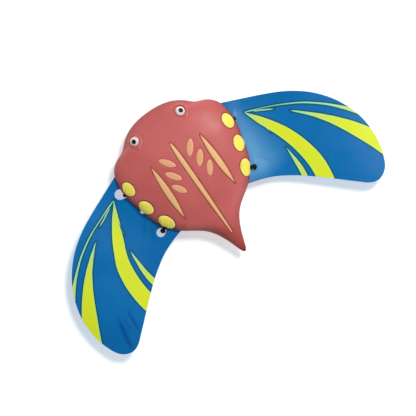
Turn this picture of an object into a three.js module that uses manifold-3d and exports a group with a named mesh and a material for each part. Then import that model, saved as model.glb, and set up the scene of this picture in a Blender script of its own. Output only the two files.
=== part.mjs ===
// Ray-shaped hand-thrown pool glider: a red two-part hull, two flexible printed wing sheets hooked to its
// flanks, and the ballast, float, screws and eyes that it holds. Millimetres, +Z up, +Y towards the nose.
// The hull rests on a flat belly at Z = 0. The origin is under the centre of the overall box.
import * as THREE from "three";
import { mergeVertices } from "three/addons/utils/BufferGeometryUtils.js";
import Module from "manifold-3d";

const wasm = await Module();
wasm.setup();

// ---------------------------------------------------------------- driving dimensions
const Y_REF = 53.83; // station 0 (front end of the centre rib) lies at Y = Y_REF; stations grow towards the tail
const Z_PART = 13; // parting plane, and mid-plane of the wing roots
const HULL_TOP = 21; // crown of the upper shell above the parting plane
const HULL_DEPTH = 14.2; // belly depth below the parting plane before the flat is cut
const WALL = 2.3;
const SEAM = 0.3; // gap between the two shells at the parting plane
const SHEET = 1.0; // thickness of a wing sheet
const SLOT_FLOOR = 11.9; // flank slot that the wing root lies in
const SLOT_CEILING = 14.8;
const ARM_BOTTOM = 14.0; // wing hooks
const ARM_TOP = 17.0;
const PIVOT = [55.4, 38.5]; // trim pivot spigot: half-breadth, station
const PIVOT_R = 1.6;
const FLEX_A = [83, 1]; // line on which a wing blade flexes: half-breadth, station
const FLEX_B = [66.5, 88];
const FLEX_GAP = 0.5;
const FRONT_SCREW = [50.5, 11.5];
const REAR_SCREW = [41, 57];
const NOSE_SCREW = [0, -17];
const TAIL_SCREW = [0, 87];
const FRONT_PEG = [66.6, 15.2];
const REAR_PEG = [55.8, 66.1];
const SCREW_R = 1.5;
const SCREW_HOLE_R = 1.85;
const EYE = [28.2, -23.2];
const EYE_R = 5.2;

// Hull outline as half-breadth and station, nose to tail.
const OUTLINE = [
  [0, -40.2], [6, -40.0], [12, -39.4], [18, -38.2], [24, -36.4], [29.8, -33.6], [35.7, -29.6], [39.9, -25.8],
  [43.6, -22.4], [48.2, -20.1], [53.3, -18.0], [57.4, -15.4], [60.8, -12.2], [63.4, -8.6], [65.2, -4.6], [66.3, 0],
  [67.1, 5], [67.4, 10], [67.2, 15], [66.6, 20], [65.6, 26], [64.0, 32], [62.4, 38], [60.9, 44],
  [59.2, 50], [56.8, 56], [53.4, 62], [49.0, 68], [43.6, 74], [38.2, 78.3], [32.8, 82], [26.8, 86],
  [21.6, 90], [17.7, 94], [14.8, 98], [12.3, 102], [10.3, 106], [8.5, 110], [7.0, 114], [5.6, 118],
  [4.2, 122], [2.9, 126], [1.5, 129], [0, 130.4],
];

// Height of the crown above the parting plane, as a share of HULL_TOP, by station.
const CROWN = [
  [-40.2, 0], [-39.6, 0.15], [-38, 0.28], [-35, 0.415], [-30, 0.56], [-24, 0.68], [-16, 0.79], [-6, 0.89],
  [6, 0.965], [20, 1], [36, 0.995], [50, 0.94], [62, 0.84], [74, 0.7], [86, 0.545], [98, 0.4],
  [110, 0.27], [120, 0.17], [127, 0.09], [129.6, 0.035], [130.4, 0],
];

// Wing outline outboard of the hull, half-breadth and station: leading edge, tip, trailing edge.
const WING_LEADING = [
  [57.5, -8.2], [62, -6.8], [66, -5.2], [72, -2.7], [80, 0.7], [90, 5.0], [100, 9.3], [110, 13.9], [120, 19.0],
  [130, 25.2], [140, 32.8], [147, 39.4], [154, 47.5], [160, 56.0], [165, 65.4], [169, 75.2], [171.6, 84],
  [173.0, 92], [173.5, 100], [173.4, 108], [172.6, 116], [171, 123.5],
];
const WING_TRAILING = [
  [171, 123.5], [168.6, 130.4], [165, 138.4], [161, 143.4], [156, 146.7], [150.5, 148.1], [145, 147.1],
  [140, 144.4], [133, 138.3], [125, 131.2], [115, 122.1], [105, 113.2], [95, 104.7], [87, 98.4], [80, 93.6],
  [73, 89.0], [66, 85.2], [58, 81.8], [50, 79.0], [44, 77.4],
];
const ROOT_INNER = [
  [44, 77.4], [42.6, 73.5], [45.8, 66], [48.6, 57], [50.6, 48], [51.2, 38.5], [53, 29], [55.4, 21], [56.2, 12], [56.6, 0],
  [57.5, -8.2],
];
const BLADE_RISE = (s) => 0.001825 * s * s - 1.6525e-5 * s * s * s; // arch of the blade outboard of the flex line

// ---------------------------------------------------------------- solids and booleans
const y = (station) => Y_REF - station;

function solid(geometry) {
  const g = (geometry.index ? geometry.toNonIndexed() : geometry.clone());
  g.deleteAttribute("normal");
  if (g.getAttribute("uv")) g.deleteAttribute("uv");
  const m = mergeVertices(g, 1e-4);
  return new wasm.Manifold(
    new wasm.Mesh({
      numProp: 3,
      vertProperties: new Float32Array(m.attributes.position.array),
      triVerts: new Uint32Array(m.index.array),
    }),
  );
}

function geometryOf(manifold) {
  const m = manifold.getMesh();
  const n = m.numProp;
  const p = new Float32Array(m.numVert * 3);
  for (let i = 0; i < m.numVert; i++) p.set(m.vertProperties.subarray(i * n, i * n + 3), i * 3);
  const g = new THREE.BufferGeometry();
  g.setAttribute("position", new THREE.BufferAttribute(p, 3));
  g.setIndex(new THREE.BufferAttribute(new Uint32Array(m.triVerts), 1));
  g.computeVertexNormals();
  return g;
}

// A closed surface of revolution about Z from [radius, z] pairs that start and end on the axis, going up.
function lathe(profile, segments = 24) {
  const g = new THREE.LatheGeometry(profile.map(([r, z]) => new THREE.Vector2(r, z)), segments);
  return g.rotateX(Math.PI / 2);
}
const rod = (r, z0, z1, x, yy, segments = 20) =>
  solid(lathe([[0, z0], [r, z0], [r, z1], [0, z1]], segments).translate(x, yy, 0));

// A flat plate between two heights from a list of [x, y] points.
function plate(points, z0, z1, holes = []) {
  const shape = new THREE.Shape(points.map(([a, b]) => new THREE.Vector2(a, b)));
  for (const h of holes) shape.holes.push(new THREE.Path(h.map(([a, b]) => new THREE.Vector2(a, b))));
  return solid(new THREE.ExtrudeGeometry(shape, { depth: z1 - z0, bevelEnabled: false, steps: 1 }).translate(0, 0, z0));
}

// Outline of a straight slot with round ends between a and b, radii ra and rb.
function capsule(a, b, ra, rb = ra, n = 10) {
  const dx = b[0] - a[0], dy = b[1] - a[1];
  const d = Math.hypot(dx, dy) || 1e-6;
  const t = Math.atan2(dy, dx);
  const k = Math.acos(Math.max(-1, Math.min(1, (ra - rb) / d)));
  const pts = [];
  for (let i = 0; i <= n; i++) {
    const w = t - k + (2 * k * i) / n;
    pts.push([b[0] + rb * Math.cos(w), b[1] + rb * Math.sin(w)]);
  }
  for (let i = 0; i <= n; i++) {
    const w = t + k + ((2 * Math.PI - 2 * k) * i) / n;
    pts.push([a[0] + ra * Math.cos(w), a[1] + ra * Math.sin(w)]);
  }
  return pts;
}

// ---------------------------------------------------------------- hull surfaces
const curveOf = (pts, n) => {
  const c = new THREE.CatmullRomCurve3(pts.map(([a, b]) => new THREE.Vector3(a, b, 0)), false, "centripetal");
  return c.getSpacedPoints(n).map((p) => [p.x, p.y]);
};
const FINE = curveOf(OUTLINE, 600);

// Half-breadth of an outline given as [half-breadth, station] at a station.
function breadthOf(line, station) {
  let best = 0;
  for (let i = 1; i < line.length; i++) {
    const [u0, v0] = line[i - 1], [u1, v1] = line[i];
    if ((v0 <= station && station <= v1) || (v1 <= station && station <= v0)) {
      const k = v1 === v0 ? 0.5 : (station - v0) / (v1 - v0);
      best = Math.max(best, u0 + k * (u1 - u0));
    }
  }
  return best;
}

// Monotone cubic through a table of [x, y].
function tableCurve(table) {
  const n = table.length, x = table.map((p) => p[0]), f = table.map((p) => p[1]);
  const d = [], m = [];
  for (let i = 0; i < n - 1; i++) d.push((f[i + 1] - f[i]) / (x[i + 1] - x[i]));
  m.push(d[0]);
  for (let i = 1; i < n - 1; i++) m.push(d[i - 1] * d[i] <= 0 ? 0 : (2 * d[i - 1] * d[i]) / (d[i - 1] + d[i]));
  m.push(d[n - 2]);
  return (q) => {
    if (q <= x[0]) return f[0];
    if (q >= x[n - 1]) return f[n - 1];
    let i = 0;
    while (q > x[i + 1]) i++;
    const h = x[i + 1] - x[i], t = (q - x[i]) / h;
    return (
      f[i] * (1 + 2 * t) * (1 - t) ** 2 + m[i] * h * t * (1 - t) ** 2 +
      f[i + 1] * t * t * (3 - 2 * t) + m[i + 1] * h * t * t * (t - 1)
    );
  };
}
const crown = tableCurve(CROWN);
const swell = (t) => Math.sqrt(Math.max(0, 1 - Math.min(1, Math.abs(t)) ** 2.6));

// Height of the upper skin above the parting plane.
const upperAt = (u, v) => HULL_TOP * crown(v) * swell(u / Math.max(breadthOf(FINE, v), 1e-6));

// Inner line of the wall: the outline moved in by WALL along its normal, ended short of the tail.
const TAIL_FILL = 108;
const INNER = (() => {
  const pts = [];
  for (let i = 0; i < FINE.length; i++) {
    const a = FINE[Math.max(0, i - 1)], b = FINE[Math.min(FINE.length - 1, i + 1)];
    let tx = b[0] - a[0], ty = b[1] - a[1];
    const l = Math.hypot(tx, ty);
    tx /= l;
    ty /= l;
    const p = [FINE[i][0] - ty * WALL, FINE[i][1] + tx * WALL];
    if (p[0] >= 0 && p[1] <= TAIL_FILL) pts.push(p);
  }
  pts[0] = [0, pts[0][1]];
  const last = pts[pts.length - 1];
  for (let i = 1; i <= 6; i++) {
    const w = (i / 6) * (Math.PI / 2);
    pts.push([last[0] * Math.cos(w), last[1] + last[0] * 0.9 * Math.sin(w)]);
  }
  return pts;
})();
const innerBreadth = (v) => breadthOf(INNER, v);
const V_IN0 = INNER[0][1], V_IN1 = INNER[INNER.length - 1][1];
// The cavity follows the skin, WALL inside it, and closes on the inner line.
function cavity(u, v, skin) {
  const w = innerBreadth(v);
  if (w <= 0.01) return 0;
  const ends = Math.sqrt(Math.max(0, Math.min(1, (v - V_IN0) / 7))) * Math.sqrt(Math.max(0, Math.min(1, (V_IN1 - v) / 9)));
  return Math.max(0, skin(u * 0.985, v) - WALL * 1.05) * Math.sqrt(Math.max(0, 1 - (u / w) ** 10)) * Math.min(1, ends * 1.02);
}

// A cap over an outline: flat at base, and domed to heightAt(u, v) above it, or below it when sign is -1.
function cap(line, count, rings, heightAt, base, sign) {
  const half = [];
  const total = line.length - 1;
  // Points along the half outline, spaced by length.
  const acc = [0];
  for (let i = 1; i < line.length; i++) acc.push(acc[i - 1] + Math.hypot(line[i][0] - line[i - 1][0], line[i][1] - line[i - 1][1]));
  for (let k = 0; k <= count; k++) {
    const want = (acc[total] * k) / count;
    let i = 1;
    while (i < total && acc[i] < want) i++;
    const t = (want - acc[i - 1]) / Math.max(1e-9, acc[i] - acc[i - 1]);
    half.push([line[i - 1][0] + t * (line[i][0] - line[i - 1][0]), line[i - 1][1] + t * (line[i][1] - line[i - 1][1])]);
  }
  half[0][0] = 0;
  half[count][0] = 0;
  const loop = [...half];
  for (let k = count - 1; k >= 1; k--) loop.push([-half[k][0], half[k][1]]);
  const n = loop.length;
  const centre = [0, 34];
  const pos = [];
  const put = (u, v, z) => pos.push(u, y(v), z) / 3 - 1;
  const domes = [];
  for (let r = 0; r < rings; r++) {
    const k = Math.sin(((r + 1) / rings) * (Math.PI / 2));
    const row = [];
    for (let i = 0; i < n; i++) {
      const u = loop[i][0] * k, v = centre[1] + (loop[i][1] - centre[1]) * k;
      row.push(put(u, v, r === rings - 1 ? base : base + sign * Math.max(0.02, heightAt(u, v))));
    }
    domes.push(row);
  }
  const top = put(0, centre[1], base + sign * heightAt(0, centre[1]));
  const bottom = put(0, centre[1], base);
  const idx = [];
  const tri = (a, b, c) => (sign > 0 ? idx.push(a, b, c) : idx.push(a, c, b));
  for (let i = 0; i < n; i++) {
    const j = (i + 1) % n;
    // The loop runs nose, +X side, tail, -X side, which is clockwise seen from above.
    tri(top, domes[0][j], domes[0][i]);
    for (let r = 1; r < rings; r++) {
      tri(domes[r - 1][i], domes[r - 1][j], domes[r][j]);
      tri(domes[r - 1][i], domes[r][j], domes[r][i]);
    }
    tri(bottom, domes[rings - 1][i], domes[rings - 1][j]);
  }
  const g = new THREE.BufferGeometry();
  g.setAttribute("position", new THREE.Float32BufferAttribute(pos, 3));
  g.setIndex(idx);
  return solid(g);
}

const RIM_UP = Z_PART + SEAM / 2, RIM_LOW = Z_PART - SEAM / 2;
const depthAt = (u, v) => HULL_DEPTH * crown(v) ** 0.92 * swell(u / Math.max(breadthOf(FINE, v), 1e-6));
const FLOOR = 2.3; // thickness of the flat belly
const above = (z) => solid(new THREE.BoxGeometry(400, 400, 100).translate(0, 0, z + 50));
const upperOuter = cap(FINE, 32, 7, upperAt, RIM_UP, 1);
const upperInner = cap(INNER, 20, 5, (u, v) => cavity(u, v, upperAt), RIM_UP - 0.01, 1);
const lowerOuter = cap(FINE, 32, 7, depthAt, RIM_LOW, -1).intersect(above(0));
const lowerInner = cap(INNER, 20, 5, (u, v) => cavity(u, v, depthAt), RIM_LOW + 0.01, -1).intersect(above(FLOOR));

const both = (f) => [f(1), f(-1)];
const at = (side, [u, v]) => [side * u, y(v)];
const strip = (x0, x1, v0, v1, z0, z1) => solid(new THREE.BoxGeometry(x1 - x0, v1 - v0, z1 - z0).translate((x0 + x1) / 2, y((v0 + v1) / 2), (z0 + z1) / 2));

// Screw posts. A lower post carries a hook or the ballast; an upper post holds the screw's thread.
const POST_R = 4.4;
const screws = [
  ...both((s) => ({ p: at(s, FRONT_SCREW), name: "front_" + (s > 0 ? "right" : "left"), start: 17.3, r: POST_R, tip: 24.4, head: 5.4 })),
  ...both((s) => ({ p: at(s, REAR_SCREW), name: "rear_" + (s > 0 ? "right" : "left"), start: 17.3, r: POST_R, tip: 23.6, head: 5.6 })),
  { p: at(1, NOSE_SCREW), name: "nose", start: 14.0, r: 6.6, tip: 25.0, head: 4.2 },
  { p: at(1, TAIL_SCREW), name: "tail", start: 14.0, r: POST_R, tip: 20.4, head: 7.2 },
];
const SEAT = 13.7;
let upperRoom = upperInner, lowerRoom = lowerInner;
for (const q of screws) {
  upperRoom = upperRoom.subtract(rod(q.r, q.start, 60, ...q.p, 16));
  lowerRoom = lowerRoom.subtract(rod(POST_R, -1, 30, ...q.p, 16));
}
// Ribs in the upper shell press on the float. Ribs in the lower shell carry the float and the ballast.
for (const v of [20, 46]) upperRoom = upperRoom.subtract(strip(-26, 26, v - 1, v + 1, 27.3, 60));
for (const s of [1, -1]) {
  upperRoom = upperRoom.subtract(strip(s * 18 - 1, s * 18 + 1, -22, -8, 14.0, 60));
  lowerRoom = lowerRoom.subtract(strip(s * 18 - 1, s * 18 + 1, 12, 56, -1, 30));
  lowerRoom = lowerRoom.subtract(strip(s * 12 - 1, s * 12 + 1, -22, -9, -1, 7.3));
  lowerRoom = lowerRoom.subtract(rod(3.6, -1, 30, ...at(s, PIVOT), 14));
}
// Eye seats.
const EYE_TILT_X = 8, EYE_TILT_Y = 22; // forward and outward
const eyeZ = Z_PART + upperAt(EYE[0], EYE[1]) - 0.4;
const eyePlace = (g, s) =>
  g.rotateX(THREE.MathUtils.degToRad(-EYE_TILT_X)).rotateY(THREE.MathUtils.degToRad(s * EYE_TILT_Y)).translate(s * EYE[0], y(EYE[1]), eyeZ);
for (const s of [1, -1]) upperRoom = upperRoom.subtract(solid(eyePlace(lathe([[0, -6], [7.2, -6], [7.2, 9], [0, 9]], 16), s)));
// Raised ribs moulded on the upper skin: one along the middle and one on each side of it.
const RIB_RISE = 0.9;
const raised = cap(FINE, 32, 7, (u, v) => upperAt(u, v) + RIB_RISE, RIM_UP, 1);
const MIDDLE_RIB = [[0.8, -0.8], [1.7, 3], [2.3, 9], [2.7, 20], [2.7, 42], [2.55, 56], [2.25, 70], [1.8, 86], [1.3, 99], [0.7, 107]];
const SIDE_RIB = [[29.3, 8], [30.5, 12], [31.8, 20], [32.8, 30], [33.2, 41], [33.0, 50], [32.2, 59], [31.3, 65], [30.4, 69.4], [29.5, 65], [28.2, 59], [26.8, 50], [26.3, 41], [26.3, 30], [27.1, 20], [28.3, 12]];
const middle = [...MIDDLE_RIB.map(([u, v]) => [-u, y(v)]), ...MIDDLE_RIB.slice().reverse().map(([u, v]) => [u, y(v)])];
let skin = upperOuter.add(plate(middle, 13.4, 60).intersect(raised));
for (const s of [1, -1]) {
  const rib = SIDE_RIB.map((p) => at(s, p));
  skin = skin.add(plate(s > 0 ? rib.reverse() : rib, 20, 60).intersect(raised));
}
let upper = skin.subtract(upperRoom);
let lower = lowerOuter.subtract(lowerRoom);
for (const s of [1, -1])
  upper = upper.subtract(solid(eyePlace(lathe([[0, -9], [2.6, -9], [2.6, -2.6], [EYE_R + 0.3, -2.6], [EYE_R + 0.3, 6], [0, 6]], 20), s)));
// What stands up past the lower rim.
for (const q of screws) lower = lower.add(rod(POST_R, 12, SEAT, ...q.p, 16));
for (const s of [1, -1]) {
  lower = lower.add(strip(s * 18 - 1, s * 18 + 1, 12, 56, 12, 17.6));
}

// Flank slots for the wing roots, wide enough for the trim swing, and room for the hooks.
for (const s of [1, -1]) {
  const pocket = [
    [90, -9.5], [57, -10.6], [54.6, -2], [54.4, 12], [53.2, 22], [50.2, 30], [48.8, 38.5], [48.4, 48], [46.6, 57], [43.8, 66], [40.8, 74], [42.5, 81.6], [60, 90], [90, 90],
  ].map((p) => at(s, p));
  const slot = plate(s > 0 ? pocket : pocket.slice().reverse(), SLOT_FLOOR, SLOT_CEILING);
  const keep = rod(POST_R, 0, SEAT, ...at(s, FRONT_SCREW), 16).add(rod(POST_R, 0, SEAT, ...at(s, REAR_SCREW), 16));
  upper = upper.subtract(slot);
  lower = lower.subtract(slot.subtract(keep));
  for (const [a, b, w] of [[FRONT_SCREW, FRONT_PEG, 2.4], [REAR_SCREW, REAR_PEG, 3.3]]) {
    const k = 8 / Math.hypot(b[0] - a[0], b[1] - a[1]);
    upper = upper.subtract(plate(capsule(at(s, a), at(s, [b[0] + k * (b[0] - a[0]), b[1] + k * (b[1] - a[1])]), w, w, 4), 13, ARM_TOP + 0.4));
    upper = upper.subtract(rod(POST_R + 0.6, 13, ARM_TOP + 0.3, ...at(s, a), 16));
  }
  lower = lower.subtract(rod(3.0, 9.2, 20, ...at(s, FRONT_PEG), 14));
  lower = lower.add(rod(PIVOT_R, 10, 14.5, ...at(s, PIVOT), 14)); // trim pivot spigot on the lower rim
}
// Screw holes: clear through the lower post with a well for the head, blind in the upper post.
for (const q of screws) {
  upper = upper.subtract(rod(SCREW_HOLE_R, 5, q.tip + 0.5, ...q.p, 12));
  lower = lower.subtract(rod(SCREW_HOLE_R, -2, 30, ...q.p, 12)).subtract(rod(3.3, -2, q.head + 2.3, ...q.p, 16));
}
// Drain holes in the belly.
for (const [u, v] of [[27, -6], [27, 68]]) for (const s of [1, -1]) lower = lower.subtract(rod(1.5, -2, 9, ...at(s, [u, v]), 12));

// ---------------------------------------------------------------- scene
const red = new THREE.MeshStandardMaterial({ color: 0xb9524f, roughness: 0.5, metalness: 0 });
const blue = new THREE.MeshStandardMaterial({ color: 0x146db2, roughness: 0.35, metalness: 0 });
const black = new THREE.MeshStandardMaterial({ color: 0x121214, roughness: 0.45, metalness: 0 });
const white = new THREE.MeshStandardMaterial({ color: 0xf3eceb, roughness: 0.25, metalness: 0 });
const pupil = new THREE.MeshStandardMaterial({ color: 0x060606, roughness: 0.15, metalness: 0 });
const steel = new THREE.MeshStandardMaterial({ color: 0xa9adb0, roughness: 0.35, metalness: 1 });
const foam = new THREE.MeshStandardMaterial({ color: 0xe9e4d6, roughness: 0.9, metalness: 0 });

const glider = new THREE.Group();
glider.name = "ray_pool_glider";
const addSolid = (name, m, material) => {
  const mesh = new THREE.Mesh(geometryOf(m), material);
  mesh.name = name;
  glider.add(mesh);
  return mesh;
};

addSolid("upper_shell", upper, red);
addSolid("lower_shell", lower, red);

// Eyes: a white dome on a stem, with a black bead let into it.
for (const [s, side] of [[1, "right"], [-1, "left"]]) {
  const dome = [[0, -7.4], [2.2, -7.4], [2.2, -2.3], [EYE_R, -2.3], [EYE_R, -0.6]];
  for (const w of [0.32, 0.62, 0.9, 1.15]) dome.push([EYE_R * Math.cos(w), -0.6 + 3.1 * Math.sin(w)]);
  dome.push([0, 2.5]);
  let ball = solid(eyePlace(lathe(dome, 20), s));
  ball = ball.subtract(solid(eyePlace(lathe([[0, 0.6], [2.5, 0.6], [2.5, 6], [0, 6]], 14), s)));
  addSolid("eye_" + side, ball, white);
  const bead = [[0, 0.9], [2.15, 0.9], [2.15, 2.1], [1.3, 2.8], [0, 3.0]];
  addSolid("pupil_" + side, solid(eyePlace(lathe(bead, 14), s)), pupil);
}

// Wing hooks: an eye round the screw, an arm out through the flank, and a barbed peg down through the sheet.
for (const [s, side] of [[1, "right"], [-1, "left"]]) {
  for (const [name, a, b, half, endR, pegR] of [
    ["front_hook_", FRONT_SCREW, FRONT_PEG, 2.0, 2.4, 1.8],
    ["rear_hook_", REAR_SCREW, REAR_PEG, 2.3, 3.0, 2.0],
  ]) {
    const A = at(s, a), B = at(s, b);
    let hook = plate(capsule(A, B, half, half, 4), ARM_BOTTOM, ARM_TOP);
    hook = hook.add(rod(POST_R, ARM_BOTTOM, ARM_TOP, ...A, 18));
    const end = solid(
      lathe([[0, 10.2], [pegR - 0.5, 10.2], [pegR + 0.35, 11.2], [pegR, 11.9], [pegR, ARM_BOTTOM], [endR, ARM_BOTTOM], [endR, ARM_TOP - 0.8], [endR - 0.8, ARM_TOP], [0, ARM_TOP]], 14).translate(...B, 0),
    );
    hook = hook.add(end).subtract(rod(SCREW_HOLE_R, 5, 25, ...A, 12));
    addSolid(name + side, hook, black);
  }
}

// Trim pivot washers on the spigots, above the sheet.
for (const [s, side] of [[1, "right"], [-1, "left"]]) {
  const p = at(s, PIVOT);
  addSolid("pivot_washer_" + side, rod(3.9, 13.8, 14.4, ...p, 22).subtract(rod(PIVOT_R + 0.3, 13, 15, ...p, 14)), white);
}

// Case screws: self-tapping, head down in its well.
for (const q of screws) {
  const z = q.head;
  const body = lathe([[0, z], [2.4, z], [2.9, z + 0.6], [2.9, z + 2], [SCREW_R, z + 2], [SCREW_R, q.tip - 1.2], [0.5, q.tip], [0, q.tip]], 12);
  const slotX = solid(new THREE.BoxGeometry(3.4, 0.9, 1.6).translate(q.p[0], q.p[1], z + 0.2));
  const slotY = solid(new THREE.BoxGeometry(0.9, 3.4, 1.6).translate(q.p[0], q.p[1], z + 0.2));
  addSolid("case_screw_" + q.name, solid(body.translate(q.p[0], q.p[1], 0)).subtract(slotX.add(slotY)), steel);
}

// Nose ballast: a steel slug round the nose post, lying on two ribs and held down by the upper post.
{
  const ring = [];
  for (let i = 0; i < 32; i++) {
    const w = (i / 32) * 2 * Math.PI;
    ring.push([25 * Math.cos(w), y(-15.5) + 9.6 * Math.sin(w)]);
  }
  let slug = plate(ring, 7.6, 13.6).subtract(rod(POST_R + 0.4, 0, 30, ...at(1, NOSE_SCREW), 18));
  addSolid("nose_ballast", slug, steel);
}
// Float: a foam block on the lower shell's ribs, held down by the upper shell's ribs.
{
  const w = 25.5, r = 7, v0 = 9.5, v1 = 58;
  const s = new THREE.Shape();
  s.moveTo(-w + r, y(v1));
  s.lineTo(w - r, y(v1));
  s.absarc(w - r, y(v1) + r, r, -Math.PI / 2, 0);
  s.lineTo(w, y(v0) - r);
  s.absarc(w - r, y(v0) - r, r, 0, Math.PI / 2);
  s.lineTo(-w + r, y(v0));
  s.absarc(-w + r, y(v0) - r, r, Math.PI / 2, Math.PI);
  s.lineTo(-w, y(v1) + r);
  s.absarc(-w + r, y(v1) + r, r, Math.PI, 1.5 * Math.PI);
  const g = new THREE.ExtrudeGeometry(s, { depth: 9, bevelEnabled: false, curveSegments: 4 }).translate(0, 0, 17.95);
  const block = new THREE.Mesh(g, foam);
  block.name = "float_block";
  glider.add(block);
}

// ---------------------------------------------------------------- wings
const unit = (a, b) => {
  const d = Math.hypot(b[0] - a[0], b[1] - a[1]);
  return [(b[0] - a[0]) / d, (b[1] - a[1]) / d];
};
const E = unit(FLEX_A, FLEX_B); // along the flex line, front to rear, in half-breadth and station
const N = [E[1], -E[0]]; // outboard
const across = ([u, v]) => N[0] * (u - FLEX_A[0]) + N[1] * (v - FLEX_A[1]);
const alongOf = ([u, v]) => E[0] * (u - FLEX_A[0]) + E[1] * (v - FLEX_A[1]);
const fromFlex = (s, c) => [FLEX_A[0] + N[0] * s + E[0] * c, FLEX_A[1] + N[1] * s + E[1] * c];
const lead = curveOf(WING_LEADING, 160), trail = curveOf(WING_TRAILING, 160);

// Where an edge crosses the line at distance s outboard of the flex line.
function crossing(edge, s, last) {
  let found = null;
  for (let i = 1; i < edge.length; i++) {
    const a = across(edge[i - 1]) - s, b = across(edge[i]) - s;
    if (a === 0 || a * b < 0) {
      const t = a / (a - b);
      found = [edge[i - 1][0] + t * (edge[i][0] - edge[i - 1][0]), edge[i - 1][1] + t * (edge[i][1] - edge[i - 1][1])];
      if (!last) return found;
    }
  }
  return found;
}

for (const [s, side] of [[1, "right"], [-1, "left"]]) {
  // Root: flat, from inside the hull to the flex line.
  const edgeS = -FLEX_GAP / 2;
  const p0 = crossing(lead, edgeS), p1 = crossing(trail, edgeS);
  const outline = [
    p0,
    p1,
    ...curveOf(WING_TRAILING, 36).filter((p) => across(p) < edgeS - 1.5),
    ...curveOf(ROOT_INNER, 16).slice(1, -1),
    ...curveOf(WING_LEADING, 36).filter((p) => across(p) < edgeS - 1.5),
  ].map((p) => at(s, p));
  let root = plate(s > 0 ? outline.slice().reverse() : outline, Z_PART - SHEET / 2, Z_PART + SHEET / 2);
  // Three hook holes, cut larger in the left sheet than in the right one.
  const cuts = s > 0
    ? [[[66.3, 15.2], [63.6, 14.2], 3.2], [[55.9, 66.2], [55.7, 66.0], 3.4], [[60.1, 38.6], [59.8, 38.6], 1.8]]
    : [[[70.2, 12.1], [65.6, 14.1], 6.1], [[59.1, 67.0], [55.4, 65.8], 4.5], [[62.2, 38.6], [61.9, 38.6], 2.9]];
  for (const [a, b, r] of cuts) root = root.subtract(plate(capsule(at(s, a), at(s, b), r, r, 8), 10, 16));
  root = root.subtract(rod(PIVOT_R + 0.3, 10, 16, ...at(s, PIVOT), 14));
  addSolid("wing_root_" + side, root, blue);

  // Blade: a thin shell between two arched surfaces, ruled in strips parallel to the flex line.
  let sMax = 0;
  for (const p of [...lead, ...trail]) sMax = Math.max(sMax, across(p));
  const stations = [FLEX_GAP / 2, 8, 16, 24, 32, 41, 50, 59, 68, 77, 85, 91, 96, 100.5, 104];
  const tip = sMax - 0.15;
  const extra = [tip - 3.4, tip - 1.6, tip - 0.5].filter((q) => q > 104.6);
  const rows = [...stations.filter((q) => q < tip - 4), ...extra];
  const M = 6;
  const pos = [], idx = [];
  const put = (q, z) => {
    const [px, py] = at(s, q);
    return pos.push(px, py, z) / 3 - 1;
  };
  const grid = rows.map((d) => {
    const a = crossing(lead, d) || crossing(trail, d), b = crossing(trail, d, true);
    let c0 = alongOf(a), c1 = alongOf(b);
    if (!crossing(lead, d)) c0 = alongOf(crossing(trail, d));
    if (!crossing(trail, d)) c1 = alongOf(crossing(lead, d, true));
    const row = { top: [], bottom: [] };
    for (let k = 0; k <= M; k++) {
      const q = fromFlex(d, c0 + ((c1 - c0) * k) / M);
      const z = Z_PART + BLADE_RISE(d);
      row.top.push(put(q, z + SHEET / 2));
      row.bottom.push(put(q, z - SHEET / 2));
    }
    return row;
  });
  const face = (a, b, c, d) => (s > 0 ? idx.push(a, b, c, a, c, d) : idx.push(a, c, b, a, d, c));
  for (let i = 1; i < grid.length; i++) {
    for (let k = 1; k <= M; k++) {
      face(grid[i - 1].top[k - 1], grid[i - 1].top[k], grid[i].top[k], grid[i].top[k - 1]);
      face(grid[i - 1].bottom[k - 1], grid[i].bottom[k - 1], grid[i].bottom[k], grid[i - 1].bottom[k]);
    }
    face(grid[i - 1].top[0], grid[i].top[0], grid[i].bottom[0], grid[i - 1].bottom[0]);
    face(grid[i - 1].bottom[M], grid[i].bottom[M], grid[i].top[M], grid[i - 1].top[M]);
  }
  const end = grid[grid.length - 1], start = grid[0];
  for (let k = 1; k <= M; k++) {
    face(start.top[k - 1], start.bottom[k - 1], start.bottom[k], start.top[k]);
    face(end.top[k - 1], end.top[k], end.bottom[k], end.bottom[k - 1]);
  }
  const g = new THREE.BufferGeometry();
  g.setAttribute("position", new THREE.Float32BufferAttribute(pos, 3));
  g.setIndex(idx);
  g.computeVertexNormals();
  const blade = new THREE.Mesh(g, blue);
  blade.name = "wing_blade_" + side;
  glider.add(blade);
}

export default glider;
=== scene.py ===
import math

import bmesh
import bpy
import numpy as np
from mathutils import Matrix, Vector
from mathutils.geometry import delaunay_2d_cdt


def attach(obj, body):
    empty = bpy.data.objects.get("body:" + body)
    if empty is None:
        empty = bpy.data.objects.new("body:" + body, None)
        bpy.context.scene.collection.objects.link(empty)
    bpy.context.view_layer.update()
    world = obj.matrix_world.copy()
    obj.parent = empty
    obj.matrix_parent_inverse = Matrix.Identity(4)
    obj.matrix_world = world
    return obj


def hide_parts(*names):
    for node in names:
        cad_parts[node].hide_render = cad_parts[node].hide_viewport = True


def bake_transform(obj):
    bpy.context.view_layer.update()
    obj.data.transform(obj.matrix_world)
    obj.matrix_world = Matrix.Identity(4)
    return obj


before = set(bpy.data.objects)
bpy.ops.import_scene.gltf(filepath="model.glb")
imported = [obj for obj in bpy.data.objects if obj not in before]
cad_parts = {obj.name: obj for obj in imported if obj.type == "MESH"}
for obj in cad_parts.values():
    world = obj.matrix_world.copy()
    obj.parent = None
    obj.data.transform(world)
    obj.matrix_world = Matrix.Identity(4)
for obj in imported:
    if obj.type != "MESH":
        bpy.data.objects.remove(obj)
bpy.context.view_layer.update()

MM = 0.001

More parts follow.
